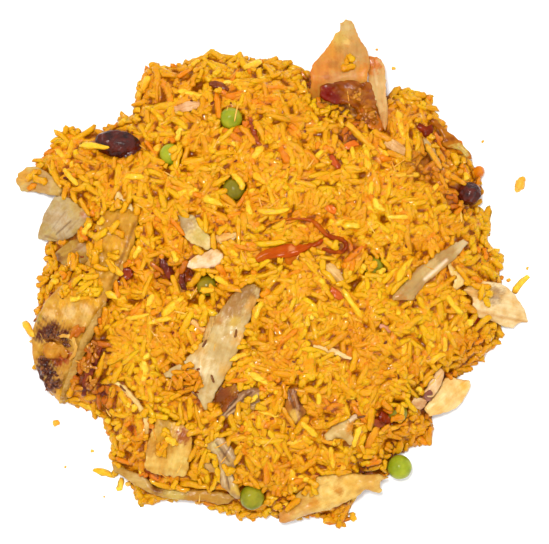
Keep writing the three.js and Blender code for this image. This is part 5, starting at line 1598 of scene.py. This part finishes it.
# Grains stuck in the steep edge, so that it shows no bare core.
wall = dict(
    spacing=2.5, lowest=0.9, rise=1.4, depth=1.5, inside=2.4, headroom=1, ahead=0.02, yawSpread=0.5,
    pitchSpread=0.3, length=(3.5, 8), width=(1.7, 2.5),
)
wallGrains = []
turn = 0.0
while turn < math.tau:
    reach = float(reachAt(math.cos(turn), math.sin(turn)))
    ahead = float(reachAt(math.cos(turn + wall["ahead"]), math.sin(turn + wall["ahead"])))
    tangent = turn + math.pi / 2 - math.atan2(ahead - reach, wall["ahead"] * reach)
    inner, place = (
        ((reach - back) * math.cos(turn), (reach - back) * math.sin(turn)) for back in (wall["inside"], wall["depth"])
    )
    level = wall["lowest"]
    while level < min(float(coreHeight[cellOf(*inner)]), float(ceiling[cellOf(*place)]) - wall["headroom"]):
        yaw = tangent + chance.normal(0, wall["yawSpread"])
        pitch = chance.normal(0, wall["pitchSpread"])
        length, width = chance.uniform(*wall["length"]), chance.uniform(*wall["width"])
        wallGrains.append((*place, level, yaw, pitch, length, width))
        level += wall["rise"]
    turn += wall["spacing"] / reach
laid = laid[:shownFrom] + wallGrains + laid[shownFrom:]
shownFrom += len(wallGrains)
print("grains in the edge:", len(wallGrains))


def modelCore():
    side = coreLook["cells"]
    bpy.ops.mesh.primitive_grid_add(
        x_subdivisions=side, y_subdivisions=side, size=gridSide * cell * mm, location=(0, 0, 0)
    )
    obj = bpy.context.object
    obj.name = "rice_core"
    places = pointsOf(obj) / mm
    x, y = places[:, 0], places[:, 1]
    level = blur(coreHeight, 1)[cellOf(x, y)]
    scale = coreLook["crumbScale"]
    crumb = np.array([noise.noise(Vector((px * scale, py * scale, 5.0))) for px, py in zip(x, y)])
    level = level + coreLook["crumb"] * crumb * (level > coreLook["crumbAbove"])
    inside = (np.hypot(x, y) < reachAt(x, y) - coreLook["backFromRim"]) & (level > coreLook["lowest"])
    places[:, 2] = np.where(inside, level, 0)
    movePoints(obj, places * mm)
    edit()
    bpy.ops.mesh.select_mode(type="VERT")
    bpy.ops.mesh.select_all(action="DESELECT")
    editDone()
    obj.data.vertices.foreach_set("select", ~inside)
    edit()
    bpy.ops.mesh.delete(type="VERT")
    editDone()
    keepMainBody(obj)
    edit()
    bpy.ops.mesh.select_mode(type="EDGE")
    bpy.ops.mesh.select_all(action="DESELECT")
    bpy.ops.mesh.select_non_manifold()
    bpy.ops.mesh.extrude_edges_move(TRANSFORM_OT_translate={"value": (0, 0, 0)})
    bpy.ops.transform.resize(value=(1, 1, 0), center_override=(0, 0, coreLook["bottom"] * mm))
    bpy.ops.mesh.edge_face_add()
    bpy.ops.mesh.select_all(action="SELECT")
    bpy.ops.mesh.normals_make_consistent(inside=False)
    editDone()
    return obj


# Painted shade in the gaps between grains: each tone is laid over the tint more strongly the deeper a point lies.
gapShades = [
    dict(tone=(76, 44, 2), below=0.1, over=1.3, most=0.6),
    dict(tone=(45, 21, 0), below=1.05, over=0.5, most=0.85),
]


def shadedInGaps(x, y, z, tints):  # painted shade: the deeper a point lies below the heights around it, in a gap or beside a topping, the darker and more orange its tint
    depth = around[cellOf(x, y)] - z
    for gapShade in gapShades:
        share = gapShade["most"] * np.clip((depth - gapShade["below"]) / gapShade["over"], 0, 1)
        tints = laidOver(tints, gapShade["tone"], share)
    return tints


hollows = (around - height)[inHeap > 0]
print("share of the heap in deep gaps:", round(float((hollows > gapShades[1]["below"]).mean()), 3))
core = modelCore()
coreX, coreY = (pointsOf(core) / mm).T[:2]
patches = coreLook["patchShare"] * ripple(coreX, coreY, coreLook["patch"], 77)
coreTones = shadedInGaps(coreX, coreY, height[cellOf(coreX, coreY)], tintBetween(coreLook["tones"], 0.5 + patches))
paintPoints(core, "tint", stained(coreX, coreY, coreTones, "core"))
print("core made:", len(core.data.polygons), "faces")


# grains as meshes, one piece for each kind

def swung(x, y, along, across, yaw):
    return x + along * math.cos(yaw) - across * math.sin(yaw), y + along * math.sin(yaw) + across * math.cos(yaw)


def joinCopies(name, layer, copies):  # each copy comes as its points, faces and tints
    allPoints, allFaces, allTints = [], [], []
    start = 0
    for points, faces, tints in copies:
        allPoints.append(points)
        allFaces += [[start + v for v in face] for face in faces]
        allTints.append(tints)
        start += len(points)
    piece = meshFrom(name, np.concatenate(allPoints), allFaces)
    paintPoints(piece, layer, np.concatenate(allTints))
    return piece


def turned(grain, form, tip):
    x, y, z, yaw, pitch, length, width = grain
    body = grainPoints[form] + chance.normal(0, grainLook["rough"], grainPoints[form].shape) * grainLook["roughWays"]
    body = body * (length, width * tip, width * grainLook["flat"])
    along = body[:, 0] * math.cos(pitch) - body[:, 2] * math.sin(pitch)
    level = body[:, 0] * math.sin(pitch) + body[:, 2] * math.cos(pitch)
    return np.stack([*swung(x, y, along, body[:, 1], yaw), np.maximum(z + level, grainLook["floor"])], 1) * mm


short = dict(below=4.5, forms=[0, 4, 5])  # a grain this short is a piece of one
bitForm = dict(flat=0.8, lump=0.12, lumpScale=3, lift=0.36, floor=0.02)


def grainCopies(grains, tints):
    for grain, tint in zip(grains, tints):
        whole = grain[5] > short["below"]
        form = int(chance.integers(len(grainForms)) if whole else chance.choice(short["forms"]))
        tip = 1 if chance.random() < 0.5 else -1
        body = turned(grain, form, tip)
        faces = [face if tip > 0 else face[::-1] for face in grainFaces[form]]
        yield body, faces, shadedInGaps(*(body / mm).T, np.repeat([tint], len(body), 0))


def bitCopies(places, look):
    flat, scale = look.get("flat", bitForm["flat"]), bitForm["lumpScale"]
    for x, y, length, width, yaw in places:
        ground = max(float(height[cellOf(x, y)]), 0)
        body = grainPoints[look["forms"][int(chance.integers(len(look["forms"])))]]
        full = body * (length, width, width * flat)
        lump = [1 + bitForm["lump"] * noise.noise(Vector((a * scale, b * scale, c * scale + x))) for a, b, c in body]
        level = np.maximum(ground + width * bitForm["lift"] + full[:, 2] * lump, bitForm["floor"])
        points = np.column_stack([*swung(x, y, full[:, 0], full[:, 1], yaw), level]) * mm
        yield points, grainFaces[0], np.repeat(tintBetween(look["tones"], chance.random(1)), len(body), 0)


riceSkin = dict(
    patch=(420, 4), patchBand=(0.38, 0.6), patchTint=(0.95, 0.80, 0.5), stain=(60, 3), stainBand=(0.45, 0.62),
    stainTint=(0.99, 0.86, 0.7), dull=(800, 2), dullBand=(0.3, 0.7), rough=(0.16, 0.42), wet=(640, 2),
    wetBand=(0.56, 0.62), coat=0.7, pores=(1100, 4, 0.65), depth=0.0004, strength=0.8,
)


def riceFinish(name):
    made = Recipe(name)
    tint = made.attribute("tint").outputs["Color"]
    patch = made.speckle(made.place(), *riceSkin["patch"])
    tone = made.darkened(tint, riceSkin["patchTint"], patch, *riceSkin["patchBand"])
    stain = made.speckle(made.place(), *riceSkin["stain"])
    deeper = made.mix(1.0, tone, riceSkin["stainTint"], "MULTIPLY")
    made.into("Base Color", made.mix(made.between(stain, *riceSkin["stainBand"], 0, 1), tone, deeper))
    dull = made.speckle(made.place(), *riceSkin["dull"])
    made.into("Roughness", made.between(dull, *riceSkin["dullBand"], *riceSkin["rough"]))
    wet = made.speckle(made.place(), *riceSkin["wet"])
    made.into("Coat Weight", made.between(wet, *riceSkin["wetBand"], 0, riceSkin["coat"]))
    made.set(Subsurface_Weight=0.5, Subsurface_Scale=0.001, Subsurface_Radius=(1.0, 0.6, 0.15))
    made.set(Specular_IOR_Level=0.13, Coat_Roughness=0.1)
    made.bump(made.speckle(made.place(), *riceSkin["pores"]), riceSkin["depth"], riceSkin["strength"])
    return made.material


finishPiece(core, riceFinish("riceCore"), "rice", "rice")

riceKinds = dict(
    golden=dict(share=0.88, parts=3, tones=[(78, 54, 3), (80, 59.5, 4), (81.5, 64, 5)]),
    pale=dict(share=0.06, parts=1, tones=[(88, 72, 18), (87, 69, 13), (90, 75, 24)]),
    orange=dict(share=0.06, parts=1, tones=[(80, 51, 3), (79, 48, 3)]),
)
patchy = dict(share=0.42, size=24, each=0.16, bright=(0.96, 1.03))
kinds = chance.choice(list(riceKinds), len(laid), p=[look["share"] for look in riceKinds.values()])
kinds[shownFrom:] = "pale"
for kind, look in riceKinds.items():
    chosen = [grain for grain, its in zip(laid, kinds) if its == kind]
    x, y = np.array([grain[:2] for grain in chosen]).T
    amount = 0.5 + patchy["share"] * ripple(x, y, patchy["size"], 31) + chance.normal(0, patchy["each"], len(chosen))
    tints = tintBetween(look["tones"], amount) * chance.uniform(*patchy["bright"], (len(chosen), 1))
    tints = stained(x, y, tints, "grains")
    parts = look["parts"]
    for part in range(parts):
        name = f"rice_grains_{kind}" + (f"_{part + 1}" if parts > 1 else "")
        piece = joinCopies(name, "tint", grainCopies(chosen[part::parts], tints[part::parts]))
        finishPiece(piece, riceFinish(name), "rice")
        print(name, len(piece.data.polygons), "faces")


# cumin seeds, crumbs on the table, bits, dark specks and meat threads

# A seed is x, y and its turn; a crumb is x, y, length, width and its turn.
seeds = [
    (-20, -33.6, -70), (-26.1, -38.7, -45), (-22.7, -21.8, 60), (-24.4, -42.5, -50), (29.9, -46.6, 10),
    (9.6, 5.7, 75), (-50.2, 25.3, -50), (-12.2, -18.4, 80), (-50.7, -37.3, -45),
]
crumbs = [
    (-74.5, -49.9, 2.6, 2.2, 0.3), (-62.1, -59.6, 1.3, 1.1, 0), (-71.4, -65.1, 1, 0.8, 1), (-58, -75.4, 0.8, 0.7, 0),
    (85.2, 32.2, 3.8, 3.4, 1.4), (86, 33.9, 2.6, 2.2, 0.4), (84.5, 30.5, 2.2, 1.8, 0.2), (81.4, -0.7, 1.6, 1.2, 0.5),
    (87.9, 3.4, 1.2, 0.9, 1.1), (74.4, 9.6, 1.6, 1.2, 0.4), (41.8, 72.3, 1.5, 1.2, 0), (72.5, 47.1, 1.2, 0.8, 0.8),
    (36, 78.8, 1, 0.8, 0), (-49.7, -70.9, 2.2, 1.6, 0.4),
]
seedSize = dict(length=3.0, width=0.8)
bitSizes = dict(spread=0.45, count=8, length=(0.7, 1.7), width=(0.5, 0.95))
specks = dict(tried=2600, count=420, wide=12, length=(0.6, 2.2), width=(0.5, 1.0))
threads = dict(count=60, length=(3, 6.5), width=(0.3, 0.6))
bitLooks = dict(
    cumin_seeds=dict(forms=[0, 1], tones=[(40, 24, 10), (50, 33, 15)], slot="browned_onion"),
    table_crumbs=dict(forms=[0, 4], tones=[(90, 62, 12), (88, 70, 28)], slot="rice"),
    crust=dict(forms=[2, 3, 5], tones=[(20, 7, 4), (34, 16, 8), (54, 32, 14)], slot="glazed_meat", flat=0.6, big=1.0),
    mush=dict(forms=[2, 3, 5], tones=[(50, 24, 2), (66, 40, 4), (74, 50, 10)], slot="glazed_meat", flat=0.6, big=1.6),
    dark_specks=dict(forms=[0, 3], tones=[(34, 12, 2), (54, 24, 3)], slot="browned_onion"),
    meat_threads=dict(forms=[1, 2], tones=[(80, 54, 10), (86, 68, 34)], slot="grey_chicken"),
)


def modelBits(name, look, places, finish, layer="tint"):
    finishPiece(joinCopies(name, layer, bitCopies(places, look)), finish, look["slot"])


def drawSize(look, big=1.0, mostTurn=3):  # length, width and turn
    return big * chance.uniform(*look["length"]), big * chance.uniform(*look["width"]), chance.uniform(0, mostTurn)


seedFinish = riceFinish("seeds")
seedPlaces = [(x, y, seedSize["length"], seedSize["width"], math.radians(turn)) for x, y, turn in seeds]
modelBits("cumin_seeds", bitLooks["cumin_seeds"], seedPlaces, seedFinish)
modelBits("table_crumbs", bitLooks["table_crumbs"], crumbs, riceFinish("crumbs"))
for kind, spots in chosenBits.items():
    look = bitLooks[kind]
    places = [
        (*chance.normal((x, y), reach * bitSizes["spread"]), *drawSize(bitSizes, look["big"]))
        for x, y, reach in spots for i in range(round(reach * bitSizes["count"]))
    ]
    modelBits(kind + "_bits", look, places, meatFinish(kind + "_finish_bits", **finishes["burnt"]), "paint")

# The specks lie in the deepest gaps.
xs, ys = drawPlaces(specks["tried"])
where = cellOf(xs, ys)
sunk = blur(height, specks["wide"])[where] - height[where]
sunk[guard[where] > 0] = -1
deepest = np.argsort(-sunk)[:specks["count"]]
speckPlaces = [(xs[i], ys[i], *drawSize(specks)) for i in deepest]
modelBits("dark_specks", bitLooks["dark_specks"], speckPlaces, seedFinish)
threadPlaces = [(x, y, *drawSize(threads)) for x, y in zip(*drawPlaces(threads["count"]))]
modelBits("meat_threads", bitLooks["meat_threads"], threadPlaces, seedFinish)
